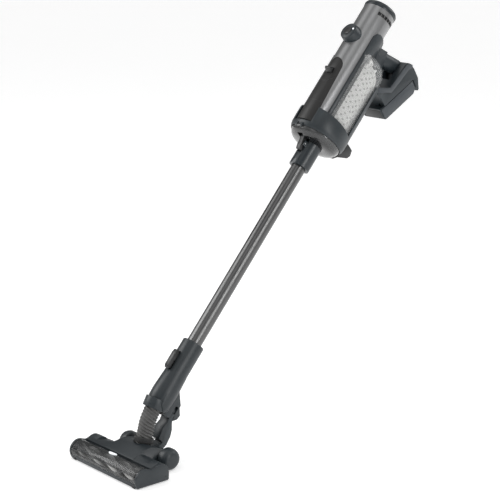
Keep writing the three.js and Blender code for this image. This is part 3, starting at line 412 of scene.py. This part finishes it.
def refine(node, name, material, round_mm=0.5, angle=34.0, segments=2):
    """A CAD node with rounded edges and smooth faces, which stands for the node."""
    mesh = clean_copy(node)
    if round_mm > 0.0:
        source = bpy.data.objects.new(name + "_source", mesh)
        bpy.context.scene.collection.objects.link(source)
        bevel = source.modifiers.new("rounded edges", "BEVEL")
        bevel.width = round_mm * MM
        bevel.segments = segments
        bevel.limit_method = "ANGLE"
        bevel.angle_limit = math.radians(angle)
        bevel.use_clamp_overlap = True
        bevel.miter_outer = "MITER_ARC"
        mesh = baked(source, name)
    soften(mesh, math.radians(angle))
    return new_piece(name, mesh, BODY_OF[node], material, (node,))


def sweep(points, radius, name, closed=False, resolution=6):
    """A round bead along points, as a mesh."""
    curve = bpy.data.curves.new(name, "CURVE")
    curve.dimensions = "3D"
    curve.bevel_depth = radius
    curve.bevel_resolution = resolution
    curve.use_fill_caps = not closed
    spline = curve.splines.new("POLY")
    spline.points.add(len(points) - 1)
    spline.use_cyclic_u = closed
    for point, place in zip(spline.points, points):
        point.co = (*place, 1.0)
    source = bpy.data.objects.new(name, curve)
    bpy.context.scene.collection.objects.link(source)
    mesh = baked(source, name)
    work = bmesh.new()
    work.from_mesh(mesh)
    bmesh.ops.remove_doubles(work, verts=work.verts, dist=1e-6)
    bmesh.ops.recalc_face_normals(work, faces=work.faces)
    work.to_mesh(mesh)
    work.free()
    soften(mesh, math.radians(50))
    return mesh


def loft(rings, name, uv_name=None, u_scale=1.0):
    """A closed skin over rings of points, with its ends filled."""
    work = bmesh.new()
    rows = [[work.verts.new(point) for point in ring] for ring in rings]
    uv = work.loops.layers.uv.new(uv_name) if uv_name else None
    count = len(rows[0])
    for j in range(len(rows) - 1):
        for i in range(count):
            k = (i + 1) % count
            face = work.faces.new((rows[j][i], rows[j][k], rows[j + 1][k], rows[j + 1][i]))
            if uv:
                corners = ((i, j), (i + 1, j), (i + 1, j + 1), (i, j + 1))
                for loop, (a, b) in zip(face.loops, corners):
                    height = (rings[b][0] - rings[0][0]).length
                    loop[uv].uv = (a * u_scale, height)
    for row in (rows[0], rows[-1]):
        centre = work.verts.new(sum((v.co for v in row), Vector()) / count)
        for i in range(count):
            work.faces.new((row[i], row[(i + 1) % count], centre))
    bmesh.ops.recalc_face_normals(work, faces=work.faces)
    mesh = bpy.data.meshes.new(name)
    work.to_mesh(mesh)
    work.free()
    soften(mesh, math.radians(60))
    return mesh


# ---------- geometry node trees ----------


class Tree:
    """A geometry node tree with named inputs for its sizes."""

    def __init__(self, name, sizes):
        self.group = bpy.data.node_groups.new(name, "GeometryNodeTree")
        self.face = self.group.interface
        self.face.new_socket("Geometry", in_out="INPUT", socket_type="NodeSocketGeometry")
        self.sockets = {}
        for label, kind in sizes:
            self.sockets[label] = self.face.new_socket(label, in_out="INPUT", socket_type=kind)
        self.face.new_socket("Geometry", in_out="OUTPUT", socket_type="NodeSocketGeometry")
        self.start = self.add("NodeGroupInput")
        self.end = self.add("NodeGroupOutput")

    def add(self, kind, inputs=None, **values):
        node = self.group.nodes.new(kind)
        for key, value in values.items():
            setattr(node, key, value)
        for socket, value in (inputs or {}).items():
            if isinstance(value, tuple) and isinstance(value[0], bpy.types.Node):
                self.group.links.new(value[0].outputs[value[1]], node.inputs[socket])
            else:
                node.inputs[socket].default_value = value
        return node

    def finish(self, source, output, material):
        real = self.add("GeometryNodeRealizeInstances", {"Geometry": (source, output)})
        look = self.add("GeometryNodeSetMaterial", {"Geometry": (real, "Geometry")})
        look.inputs["Material"].default_value = material
        self.group.links.new(look.outputs["Geometry"], self.end.inputs["Geometry"])

    def run(self, mesh, name, **values):
        """Applies the tree to a mesh and gives the plain result."""
        source = bpy.data.objects.new(name + "_source", mesh)
        bpy.context.scene.collection.objects.link(source)
        modifier = source.modifiers.new("nodes", "NODES")
        modifier.node_group = self.group
        for label, value in values.items():
            modifier[self.sockets[label].identifier] = value
        return baked(source, name)


def path_mesh(points, name):
    """Points joined by edges, for a tree to follow."""
    mesh = bpy.data.meshes.new(name)
    edges = [(i, i + 1) for i in range(len(points) - 1)]
    mesh.from_pydata([tuple(p) for p in points], edges, [])
    return mesh


def smooth_path(points, steps):
    """A smooth curve through points, cut into equal steps, with its tangents."""
    dense = []
    ends = [points[0] * 2.0 - points[1], *points, points[-1] * 2.0 - points[-2]]
    for a, b, c, d in zip(ends, ends[1:], ends[2:], ends[3:]):
        for i in range(40):
            t = i / 40.0
            dense.append(0.5 * (2.0 * b + (c - a) * t + (2.0 * a - 5.0 * b + 4.0 * c - d) * t**2
                                + (3.0 * b - a - 3.0 * c + d) * t**3))
    dense.append(points[-1])
    run = [0.0]
    for first, second in zip(dense, dense[1:]):
        run.append(run[-1] + (second - first).length)
    places = []
    j = 0
    for i in range(steps + 1):
        want = run[-1] * i / steps
        while j < len(run) - 2 and run[j + 1] < want:
            j += 1
        t = (want - run[j]) / max(run[j + 1] - run[j], 1e-9)
        places.append(dense[j].lerp(dense[j + 1], min(t, 1.0)))
    tangents = [
        (places[min(i + 1, steps)] - places[max(i - 1, 0)]).normalized() for i in range(steps + 1)
    ]
    return places, tangents


def ribbed_hose(points, radius, depth, ribs, name):
    """A hose wound with a helical rib, as a lower and an upper half."""
    steps = ribs * 12
    places, tangents = smooth_path(points, steps)
    rings = []
    for i, (place, tangent) in enumerate(zip(places, tangents)):
        across = Vector((1.0, 0.0, 0.0))
        up = tangent.cross(across).normalized()
        ring = []
        for k in range(80):
            angle = math.tau * k / 80
            wave = 0.5 - 0.5 * math.cos(math.tau * i / 12.0 + 5.0 * angle)
            reach = radius - depth * wave**1.6
            ring.append(place + across * (reach * math.cos(angle)) + up * (reach * math.sin(angle)))
        rings.append(ring)
    half = steps // 2
    return (
        (loft(rings[: half + 1], name + " lower"), places[0], places[half]),
        (loft(rings[half:], name + " upper"), places[half], places[-1]),
    )


def ring_of_bars(centre, axes, material, count, radius, size, name):
    """Bars set round a circle, each pointing outwards."""
    tree = Tree(
        name,
        [("Count", "NodeSocketInt"), ("Radius", "NodeSocketFloat"), ("Bar", "NodeSocketVector")],
    )
    circle = tree.add("GeometryNodeMeshCircle",
                      {"Vertices": (tree.start, "Count"), "Radius": (tree.start, "Radius")})
    place = tree.add("GeometryNodeInputPosition")
    turn = tree.add("FunctionNodeAlignRotationToVector", {"Vector": (place, "Position")}, axis="X",
                    pivot_axis="Z")
    bar = tree.add("GeometryNodeMeshCube", {"Size": (tree.start, "Bar")})
    bars = tree.add("GeometryNodeInstanceOnPoints",
                    {"Points": (circle, "Mesh"), "Instance": (bar, "Mesh"),
                     "Rotation": (turn, "Rotation")})
    tree.finish(bars, "Instances", material)
    mesh = tree.run(path_mesh([Vector()], name), name, Count=count, Radius=radius, Bar=size)
    mesh.transform(Matrix.Translation(centre) @ axes.to_3x3().to_4x4())
    return mesh


def pan_head_screws(places, material, radius, name):
    """Recessed pan-head screws at points that carry their outward direction."""
    tree = Tree(name, [("Radius", "NodeSocketFloat")])
    out = tree.add("GeometryNodeInputNamedAttribute", {"Name": "out"}, data_type="FLOAT_VECTOR")
    turn = tree.add("FunctionNodeAlignRotationToVector", {"Vector": (out, "Attribute")}, axis="Z")
    points = tree.add("GeometryNodeMeshToPoints", {"Mesh": (tree.start, "Geometry")})
    head = tree.add("GeometryNodeMeshCylinder",
                    {"Vertices": 20, "Radius": 1.0, "Depth": 0.5, "Side Segments": 1,
                     "Fill Segments": 1})
    slot_bar = tree.add("GeometryNodeMeshCube", {"Size": (1.5, 0.26, 0.6)})
    other_bar = tree.add("GeometryNodeMeshCube", {"Size": (0.26, 1.5, 0.6)})
    cross = tree.add("GeometryNodeMeshBoolean", operation="DIFFERENCE")
    tree.group.links.new(head.outputs["Mesh"], cross.inputs["Mesh 1"])
    for bar in (slot_bar, other_bar):
        lift = tree.add("GeometryNodeTransform",
                        {"Geometry": (bar, "Mesh"), "Translation": (0.0, 0.0, 0.36)})
        tree.group.links.new(lift.outputs["Geometry"], cross.inputs["Mesh 2"])
    screws = tree.add("GeometryNodeInstanceOnPoints",
                      {"Points": (points, "Points"), "Instance": (cross, "Mesh"),
                       "Rotation": (turn, "Rotation"), "Scale": (tree.start, "Radius")})
    tree.finish(screws, "Instances", material)
    mesh = path_mesh([place for place, _ in places], name)
    out_data = mesh.attributes.new("out", "FLOAT_VECTOR", "POINT")
    for row, (_, direction) in zip(out_data.data, places):
        row.vector = direction
    return tree.run(mesh, name, Radius=radius)


# ---------- sizes and colours that a user would change ----------


def colour_prop(name, description, default):
    return FloatVectorProperty(
        name=name, description=description, default=default, subtype="COLOR", size=3,
        min=0.0, max=1.0
    )


def length_prop(name, description, default):
    return FloatProperty(
        name=name, description=description, default=default, subtype="DISTANCE",
        unit="LENGTH", min=0.0
    )


class VacuumColours(bpy.types.PropertyGroup):
    slate: colour_prop("Slate", "Main plastic of the frame, elbow and head",
                       (0.0125, 0.0175, 0.021))
    trim: colour_prop("Trim", "Lighter plastic of the bands and battery covers",
                      (0.04, 0.046, 0.052))
    black: colour_prop("Black", "Keys, latches and rollers", (0.009, 0.0095, 0.01))
    tool: colour_prop("Tool", "Stowed tool", (0.006, 0.0058, 0.0056))
    silver: colour_prop("Silver", "Lacquer of the motor tube", (0.2, 0.202, 0.204))
    wand: colour_prop("Wand", "Anodised wand", (0.115, 0.115, 0.115))
    clear: colour_prop("Clear", "Bin shell", (0.5, 0.51, 0.51))
    smoke: colour_prop("Smoke", "Bin door and front cover of the head", (0.05, 0.052, 0.053))
    bag: colour_prop("Bag", "Fleece of the dust bag", (0.56, 0.56, 0.545))
    hose: colour_prop("Hose", "Corrugated hose", (0.075, 0.074, 0.073))
    brush: colour_prop("Brush", "Pile of the brush roller", (0.2, 0.2, 0.197))


class VacuumSizes(bpy.types.PropertyGroup):
    edge: length_prop("Edge", "Rounding of moulded edges", 0.7 * MM)
    soft_edge: length_prop("Soft edge", "Rounding of the battery and its dock", 2.0 * MM)
    fine_edge: length_prop("Fine edge", "Rounding of small parts and metal rims", 0.35 * MM)
    pleats: IntProperty(name="Pleats", description="Turns of the rib along the hose", default=14,
                        min=4, max=40)
    pleat_depth: length_prop("Pleat depth", "Half the height of a rib", 1.2 * MM)
    louvres: IntProperty(name="Louvres", description="Bars of the exhaust ring", default=72, min=12)
    screw: length_prop("Screw", "Radius of a screw head", 2.6 * MM)
    crown: length_prop("Crown", "How far the bag bulges between its folds", 1.6 * MM)
    brush_rows: IntProperty(name="Brush rows", description="Slanting rows of the roller", default=5,
                            min=1)


class StudioSettings(bpy.types.PropertyGroup):
    lens: FloatProperty(name="Lens", description="Focal length", default=111.6, unit="CAMERA")
    key: FloatProperty(name="Key", description="Power of the large soft light", default=70.0,
                       unit="POWER")
    rim: FloatProperty(name="Rim", description="Power of the light at the back", default=26.0,
                       unit="POWER")
    low_sky: FloatProperty(name="Low sky", description="Brightness of the room at eye height",
                           default=0.5)
    strip: FloatProperty(name="Strip", description="Power of the tall narrow light", default=30.0,
                         unit="POWER")
    floor_glow: FloatProperty(name="Floor glow", description="Light of the floor itself",
                              default=0.36)
    high_sky: FloatProperty(name="High sky", description="Extra brightness overhead", default=1.25)


MATERIALS = {}


def look(name):
    """A material by name, built on first use from the colours."""
    if name not in MATERIALS:
        c = bpy.context.scene.vacuum_colours
        builders = {
            "slate plastic": lambda n: moulded_plastic(n, c.slate),
            "smooth slate plastic": lambda n: moulded_plastic(n, c.slate, 0.3, 1900.0, 0.00001),
            "trim plastic": lambda n: moulded_plastic(n, c.trim, 0.38, wear=0.2),
            "black plastic": lambda n: moulded_plastic(n, c.black, 0.36, 1200.0),
            "tool plastic": lambda n: moulded_plastic(n, c.tool, 0.5, 1000.0, 0.00006, 0.15),
            "silver lacquer": lambda n: silver_lacquer(n, c.silver),
            "wand metal": lambda n: drawn_metal(n, c.wand, 0.3, (LEAN, 0.0, 0.0)),
            "turned steel": lambda n: drawn_metal(n, (0.55, 0.56, 0.57), 0.22),
            "clear plastic": lambda n: clear_plastic(n, c.clear, 0.06, 0.0, 0.14),
            "smoked plastic": lambda n: clear_plastic(n, c.smoke, 0.1, 0.0, 0.45),
            # the second colour is painted shade near the stick's axis, for the shaded recess and the duct behind
            # the door
            "smoked bowl": lambda n: smoked_bowl(n, (0.07, 0.072, 0.073), (0.006, 0.0065, 0.007),
                                                 0.05, 0.064),
            "bag fleece": lambda n: fleece(n, c.bag, True),
            "filter fleece": lambda n: fleece(n, c.bag, False),
            "black rubber": lambda n: soft_rubber(n, (0.014, 0.014, 0.0145)),
            "hose rubber": lambda n: soft_rubber(n, c.hose, 0.5),
            "bag card": lambda n: soft_rubber(n, (0.05, 0.052, 0.054), 0.8),
            "circuit board": lambda n: moulded_plastic(n, (0.012, 0.09, 0.045), 0.5),
            "cell wrap": lambda n: moulded_plastic(n, (0.03, 0.12, 0.22), 0.3),
            "white lens": lambda n: lens(n, (0.9, 0.93, 0.95), 0.5),
            "brush pile": lambda n: bristle_pile(n, c.brush),
            "row pile": lambda n: bristle_pile(n, shade(c.brush, 2.2)),
        }
        MATERIALS[name] = builders[name](name)
    return MATERIALS[name]


def refine_all(rows):
    """Refines several CAD nodes; a row is node, piece name, finish, edge and corner angle."""
    for node, name, finish, edge, *angle in rows:
        refine(node, name, look(finish), edge / MM, *(angle or [34.0]))


# ---------- one operator for each group of pieces ----------


class MotorTube(bpy.types.Operator):
    """Silver motor tube with its cap, louvres and control pod"""

    bl_idname = "vacuum.motor_tube"
    bl_label = "Motor tube"

    def execute(self, context):
        s = context.scene.vacuum_sizes
        refine_all((
            ("motor_tube", "silver_tube", "silver lacquer", s.fine_edge),
            ("end_cap", "top_cap", "smooth slate plastic", s.edge),
            ("control_pod", "pod_housing", "slate plastic", s.edge, 40.0),
            ("power_button", "power_key", "black plastic", s.edge),
            ("status_lamp", "pod_lamp", "white lens", 0.0),
        ))
        louvres = ring_of_bars(on_stick(0.0, TUBE_Y, LOUVRE_Z), STICK, look("black plastic"),
                               s.louvres, 36.0 * MM, (2.6 * MM, 1.5 * MM, 17.0 * MM),
                               "exhaust louvres")
        new_piece("exhaust_louvres", louvres, "handset", look("black plastic"))
        refine("exhaust_grille", "exhaust_ring", look("black plastic"), 0.0)
        groove = [on_stick(41.0 * math.sin(t), TUBE_Y - 41.0 * math.cos(t), CAP_SEAM_Z)
                  for t in (math.tau * i / 96 for i in range(96))]
        bead = sweep(groove, 0.45 * MM, "cap bead", closed=True, resolution=3)
        new_piece("cap_bead", bead, "handset", look("black plastic"))
        seat = [on_stick(23.4 * math.cos(t), -87.0 + 21.0, 333.0 + 23.4 * math.sin(t))
                for t in (math.tau * i / 72 for i in range(72))]
        trim = sweep(seat, 0.5 * MM, "pod trim", closed=True, resolution=3)
        new_piece("pod_trim", trim, "handset", look("black plastic"))
        return {"FINISHED"}


def bag_ring(height, crown):
    """One level of the bag: a crescent behind the motor tube, pulled in towards both ends."""
    t = (height - BAG_LOW) / (BAG_HIGH - BAG_LOW)
    shoulder = min(1.0, (1.0 - abs(2.0 * t - 1.0)) * 7.0)
    round_end = math.sqrt(max(1.0 - (1.0 - shoulder) ** 2, 0.0))
    top_taper = 1.0 if height < 262.0 else 1.0 - ((height - 262.0) / 41.0) ** 2 * 0.42
    fold = crown * 1000.0
    outer = (50.5 + 6.5 * round_end) * top_taper
    inner = 48.6 + 2.2 * (1.0 - round_end)
    points = []
    steps = 72
    for i in range(steps + 1):
        angle = math.radians(-30.0 + 240.0 * i / steps)
        ripple = noise.noise(Vector((math.cos(angle) * 2.2, math.sin(angle) * 2.2, height / 34.0)))
        crease = abs(math.sin(angle * 6.0 + height / 40.0)) - 0.6
        reach = outer + fold * (0.7 * ripple + 0.35 * crease) - 0.8
        reach = min(reach, 59.0)
        points.append((reach * math.cos(angle), reach * math.sin(angle)))
    for i in range(1, 40):
        angle = math.radians(180.0 - 8.0 - (180.0 - 16.0) * i / 40)
        points.append((inner * math.cos(angle), TUBE_Y + inner * math.sin(angle)))
    return [on_stick(x, max(y, -32.5), height) for x, y in points]


class DustBin(bpy.types.Operator):
    """Clear bin with its padded bag, collar, door and catches"""

    bl_idname = "vacuum.dust_bin"
    bl_label = "Dust bin"

    def execute(self, context):
        s = context.scene.vacuum_sizes
        refine_all((
            ("bin_shell", "clear_bin", "clear plastic", 0.0, 30.0),
            ("collar_ring", "bin_collar", "slate plastic", s.edge),
            ("pod_card", "bag_card", "bag card", s.fine_edge),
            ("door_bowl", "bin_door", "smoked bowl", s.fine_edge),
            ("coupler", "wand_coupler", "smooth slate plastic", s.edge),
            ("door_seal", "door_gasket", "black rubber", 0.0),
            ("door_latch", "rear_door_catch", "black plastic", s.edge),
            ("door_hinge_pin", "door_pin", "black plastic", 0.0),
            ("wand_latch", "wand_lever", "black plastic", s.edge),
            ("wand_latch_pin", "wand_lever_pin", "turned steel", 0.0),
        ))
        span = BAG_HIGH - BAG_LOW
        levels = [BAG_LOW + span * (0.5 - 0.5 * math.cos(math.pi * i / 56)) for i in range(57)]
        rings = [bag_ring(height, s.crown) for height in levels]
        bag = loft(rings, "dust bag", "cloth", 2.4 * MM)
        piece = new_piece("dust_bag", bag, "handset", look("bag fleece"), ("dust_pod",))
        return {"FINISHED"}


class HandsetFrame(bpy.types.Operator):
    """Frame, hand grip, battery dock and battery pack"""

    bl_idname = "vacuum.handset_frame"
    bl_label = "Frame and battery"

    def execute(self, context):
        s = context.scene.vacuum_sizes
        refine_all((
            ("chassis", "tube_frame", "slate plastic", s.edge),
            ("rear_spine", "bin_rail", "slate plastic", s.fine_edge),
            ("grip", "hand_grip", "slate plastic", s.edge * 1.5),
            ("battery_dock", "battery_dock_body", "slate plastic", s.soft_edge),
            ("dock_band_left", "dock_trim_left", "trim plastic", s.edge),
            ("dock_band_right", "dock_trim_right", "trim plastic", s.edge),
            ("battery_release", "battery_key", "black plastic", s.fine_edge),
            ("battery_case", "battery_body", "slate plastic", s.soft_edge),
            ("battery_base", "battery_floor", "black plastic", s.fine_edge),
            ("battery_cover_left", "battery_side_left", "trim plastic", s.edge),
            ("battery_cover_right", "battery_side_right", "trim plastic", s.edge),
        ))
        return {"FINISHED"}


class StowedTool(bpy.types.Operator):
    """Crevice tool in its channel, with its catch and moulded lines"""

    bl_idname = "vacuum.stowed_tool"
    bl_label = "Stowed tool"

    def execute(self, context):
        s = context.scene.vacuum_sizes
        refine_all((
            ("tool_channel", "channel_wall", "black plastic", 0.0),
            ("crevice_tool", "crevice_nozzle", "tool plastic", s.edge),
            ("tool_catch", "tool_key", "black plastic", s.edge),
        ))
        lip = []
        for i in range(33):
            t = -1.0 + 2.0 * i / 32
            x = 20.5 * t
            lip.append((x, 200.0 + 15.0 * (abs(t) ** 2.4)))
        seam = [(-24.5 + 49.0 * i / 32, 146.0) for i in range(33)]
        for name, line, size in (("tool_lip", lip, 0.8), ("tool_seam", seam, 0.55)):
            points = [
                on_stick(x, TUBE_Y - math.sqrt(40.0**2 - x**2) + size * 0.55, z) for x, z in line
            ]
            mesh = sweep(points, size * MM, name, resolution=3)
            new_piece(name, mesh, "tool", look("black plastic"))
        return {"FINISHED"}


class WandAndElbow(bpy.types.Operator):
    """Drawn metal wand, elbow, cuff and their latch"""

    bl_idname = "vacuum.wand_and_elbow"
    bl_label = "Wand and elbow"

    def execute(self, context):
        s = context.scene.vacuum_sizes
        refine_all((
            ("wand_tube", "metal_wand", "wand metal", 0.0),
            ("wand_conduit", "wand_wiring_duct", "black plastic", 0.0),
            ("elbow_body", "elbow_housing", "slate plastic", s.edge),
            ("elbow_cuff", "elbow_ring", "slate plastic", s.edge),
            ("elbow_latch", "elbow_key", "black plastic", s.edge),
            ("steer_pin", "steering_pin", "turned steel", s.fine_edge),
        ))
        return {"FINISHED"}


class NeckAndHose(bpy.types.Operator):
    """Yoke with its spring, ribbed hose and its boot"""

    bl_idname = "vacuum.neck_and_hose"
    bl_label = "Neck and hose"

    def execute(self, context):
        s = context.scene.vacuum_sizes
        refine_all((
            ("yoke", "neck_yoke", "slate plastic", s.edge * 1.3),
            ("hose_boot", "hose_collar", "black rubber", s.edge),
        ))
        cuff = on_stick(0.0, CUFF_Y, CUFF_Z)
        lean = LEAN - math.radians(CUFF_TURN)
        into = Vector((0.0, math.sin(lean), math.cos(lean)))
        points = [on_head(0.0, 112.5, 43.5), on_head(0.0, 118.5, 62.0), on_head(0.0, 127.0, 92.0),
                  cuff - into * 8.0 * MM, cuff + into * 4.0 * MM, cuff + into * 17.0 * MM]
        halves = ribbed_hose(points, 19.0 * MM, s.pleat_depth * 2.0, s.pleats, "hose")
        joined = (("floor_head", "neck"), ("neck", "elbow"))
        for label, (mesh, low, high), bodies in zip(("lower", "upper"), halves, joined):
            piece = new_piece("neck_hose_" + label, mesh, None, look("hose rubber"),
                              ("flex_hose",))
            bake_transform(piece)
        coil = []
        for i in range(5 * 24 + 1):
            turn = math.tau * i / 24
            coil.append(on_head(15.0 + 9.0 * i / 120.0, 129.0 + 12.2 * math.cos(turn),
                                24.5 + 12.2 * math.sin(turn)))
        spring = sweep(coil, 0.8 * MM, "yoke spring", resolution=3)
        new_piece("yoke_spring", spring, "neck", look("turned steel"))
        return {"FINISHED"}


class FloorHead(bpy.types.Operator):
    """Powered floor head with its cover, brush, wheels and rollers"""

    bl_idname = "vacuum.floor_head"
    bl_label = "Floor head"

    def execute(self, context):
        s = context.scene.vacuum_sizes
        refine_all((
            ("head_body", "head_shell", "slate plastic", s.edge),
            ("head_cap_left", "head_end_left", "slate plastic", s.fine_edge),
            ("head_cap_right", "head_end_right", "slate plastic", s.fine_edge),
            ("front_cover", "head_window", "smoked plastic", s.fine_edge),
            ("head_lamp", "head_light", "white lens", s.fine_edge),
            ("rear_wheel_left", "wheel_left", "slate plastic", s.fine_edge),
            ("rear_wheel_right", "wheel_right", "slate plastic", s.fine_edge),
            ("front_roller_left", "roller_left", "black plastic", s.fine_edge),
            ("front_roller_right", "roller_right", "black plastic", s.fine_edge),
            ("wheel_axle", "axle_rod", "turned steel", s.fine_edge),
            ("motor_pulley", "drive_pulley", "black plastic", 0.0),
            ("drive_belt", "belt_loop", "black rubber", 0.0),
        ))
        brush = Vector(JOINTS["brush_spin"]["pos_m"])
        for name, reach, ends, finish in (
            ("brush_core", 12.5, (-110.0, 101.0), "brush pile"),
            ("brush_axle", 3.0, (-112.0, 112.0), "turned steel"),
            ("brush_sprocket", 9.0, (101.2, 110.5), "black plastic"),
        ):
            line = [brush + RIGHT * x * MM for x in ends]
            mesh = sweep(line, reach * MM, name)
            new_piece(name, mesh, "brush", look(finish), ("brush_roller",))
        for row in range(s.brush_rows):
            rings = []
            for i in range(81):
                x = -106.0 + 206.0 * i / 80
                turn = math.tau * row / s.brush_rows + x / 46.0
                out = Vector((0.0, math.cos(turn), math.sin(turn)))
                side = RIGHT.cross(out)
                rings.append([
                    brush + (RIGHT * x + out * reach + side * half) * MM
                    for reach, half in ((12.0, 2.6), (17.6, 1.7), (17.6, -1.7), (12.0, -2.6))
                ])
            pile = loft(rings, "brush row")
            new_piece(f"brush_row_{row + 1}", pile, "brush", look("row pile"),
                      ("brush_roller",))
        places = []
        for side in (-1.0, 1.0):
            for y, z in ((12.0, 9.5), (80.0, 12.0)):
                places.append((on_head(side * 124.6, y, z), Vector((side, 0.0, 0.0))))
        screws = pan_head_screws(places, look("black plastic"), s.screw * 0.75, "head screws")
        new_piece("head_screws", screws, "floor_head", look("black plastic"))
        return {"FINISHED"}


class HiddenParts(bpy.types.Operator):
    """Finishes for the parts inside"""

    bl_idname = "vacuum.hidden_parts"
    bl_label = "Parts inside"

    def execute(self, context):
        inside = {
            "suction_motor": "turned steel",
            "brush_motor": "turned steel",
            "impeller": "turned steel",
            "motor_mount": "black rubber",
            "motor_filter": "filter fleece",
            "control_board": "circuit board",
            "battery_cells": "cell wrap",
        }
        for node, name in inside.items():
            mesh = frame["nodes"][node].data
            for index in range(len(mesh.materials)):
                mesh.materials[index] = look(name)
        return {"FINISHED"}


class Stage(bpy.types.Operator):
    """Pale floor, soft light and the camera"""

    bl_idname = "vacuum.stage"
    bl_label = "Stage"

    def execute(self, context):
        studio = context.scene.vacuum_studio
        mesh = bpy.data.meshes.new("floor")
        reach = 30.0
        corners = [(-reach, -reach), (reach, -reach), (reach, reach), (-reach, reach)]
        mesh.from_pydata([(x, y, FLOOR_Z) for x, y in corners], [], [(0, 1, 2, 3)])
        floor = bpy.data.objects.new("floor", mesh)
        context.scene.collection.objects.link(floor)
        paper = Finish("pale floor", Roughness=0.9, Emission_Color=(1.0, 1.0, 1.0, 1.0),
                       Emission_Strength=studio.floor_glow)
        cloud = paper.noise(paper.coordinates((1.0, 1.0, 1.0)), 1.5, 2.0)
        paper.paint(paper.blend(cloud, "Fac", (0.86, 0.86, 0.86), (0.88, 0.88, 0.88)))
        mesh.materials.append(paper.material)

        world = bpy.data.worlds.new("studio room")
        world.use_nodes = True
        tree = world.node_tree
        tree.nodes.clear()
        where = tree.nodes.new("ShaderNodeTexCoord")
        split = tree.nodes.new("ShaderNodeSeparateXYZ")
        height = tree.nodes.new("ShaderNodeMapRange")
        height.inputs["To Min"].default_value = studio.low_sky
        height.inputs["To Max"].default_value = studio.low_sky + studio.high_sky
        sky = tree.nodes.new("ShaderNodeBackground")
        end = tree.nodes.new("ShaderNodeOutputWorld")
        tree.links.new(where.outputs["Generated"], split.inputs["Vector"])
        tree.links.new(split.outputs["Z"], height.inputs["Value"])
        flags = tree.nodes.new("ShaderNodeTexWave")
        flags.inputs["Scale"].default_value = 0.4
        flags.inputs["Phase Offset"].default_value = 0.6
        dim = tree.nodes.new("ShaderNodeMapRange")
        dim.inputs["To Min"].default_value = 0.18
        dim.inputs["To Max"].default_value = 1.15
        product = tree.nodes.new("ShaderNodeMath")
        product.operation = "MULTIPLY"
        tree.links.new(where.outputs["Generated"], flags.inputs["Vector"])
        tree.links.new(flags.outputs["Fac"], dim.inputs["Value"])
        tree.links.new(height.outputs["Result"], product.inputs[0])
        tree.links.new(dim.outputs["Result"], product.inputs[1])
        tree.links.new(product.outputs["Value"], sky.inputs["Strength"])
        tree.links.new(sky.outputs["Background"], end.inputs["Surface"])
        context.scene.world = world

        target = on_head(*CAMERA_TARGET)
        lights = (
            ("key light", (-2.6, -2.2, 1.9), 2.2, 2.2, studio.key),
            ("rim light", (1.2, 2.9, 1.6), 1.4, 1.4, studio.rim),
            ("strip light", (2.6, -0.2, 0.9), 0.35, 2.0, studio.strip),
        )
        for name, offset, size, tall, power in lights:
            data = bpy.data.lights.new(name, "AREA")
            data.shape = "RECTANGLE"
            data.size = size
            data.size_y = tall
            data.energy = power
            lamp = bpy.data.objects.new(name, data)
            lamp.location = target + Vector(offset)
            lamp.rotation_euler = (-Vector(offset)).to_track_quat("-Z", "Y").to_euler()
            context.scene.collection.objects.link(lamp)

        data = bpy.data.cameras.new("camera")
        data.sensor_width = 36.0
        data.lens = studio.lens
        data.clip_end = 100.0
        camera = bpy.data.objects.new("camera", data)
        camera.location = on_head(*CAMERA_AT)
        camera.rotation_euler = (target - camera.location).to_track_quat("-Z", "Y").to_euler()
        context.scene.collection.objects.link(camera)
        context.scene.camera = camera
        context.scene.view_settings.view_transform = "Standard"
        return {"FINISHED"}


OPERATORS = (
    MotorTube,
    DustBin,
    HandsetFrame,
    StowedTool,
    WandAndElbow,
    NeckAndHose,
    FloorHead,
    HiddenParts,
    Stage,
)


class VacuumPanel(bpy.types.Panel):
    """Lists the pieces and the sizes they are built from"""

    bl_idname = "VIEW3D_PT_vacuum"
    bl_label = "Stick Vacuum"
    bl_space_type = "VIEW_3D"
    bl_region_type = "UI"
    bl_category = "Stick Vacuum"

    def draw(self, context):
        column = self.layout.column()
        for operator in OPERATORS:
            column.operator(operator.bl_idname)
        for group in ("vacuum_sizes", "vacuum_colours", "vacuum_studio"):
            settings = getattr(context.scene, group)
            box = self.layout.box()
            for key in settings.bl_rna.properties.keys():
                if key not in ("rna_type", "name"):
                    box.prop(settings, key)


GROUPS = (
    ("vacuum_colours", VacuumColours),
    ("vacuum_sizes", VacuumSizes),
    ("vacuum_studio", StudioSettings),
)


def register():
    for name, group in GROUPS:
        bpy.utils.register_class(group)
        setattr(bpy.types.Scene, name, PointerProperty(type=group))
    for item in (*OPERATORS, VacuumPanel):
        bpy.utils.register_class(item)


def unregister():
    for item in reversed((*OPERATORS, VacuumPanel)):
        bpy.utils.unregister_class(item)
    for name, group in reversed(GROUPS):
        delattr(bpy.types.Scene, name)
        bpy.utils.unregister_class(group)


def main():
    register()
    for operator in OPERATORS:
        area, name = operator.bl_idname.split(".")
        getattr(getattr(bpy.ops, area), name)()


if __name__ == "__main__":
    main()
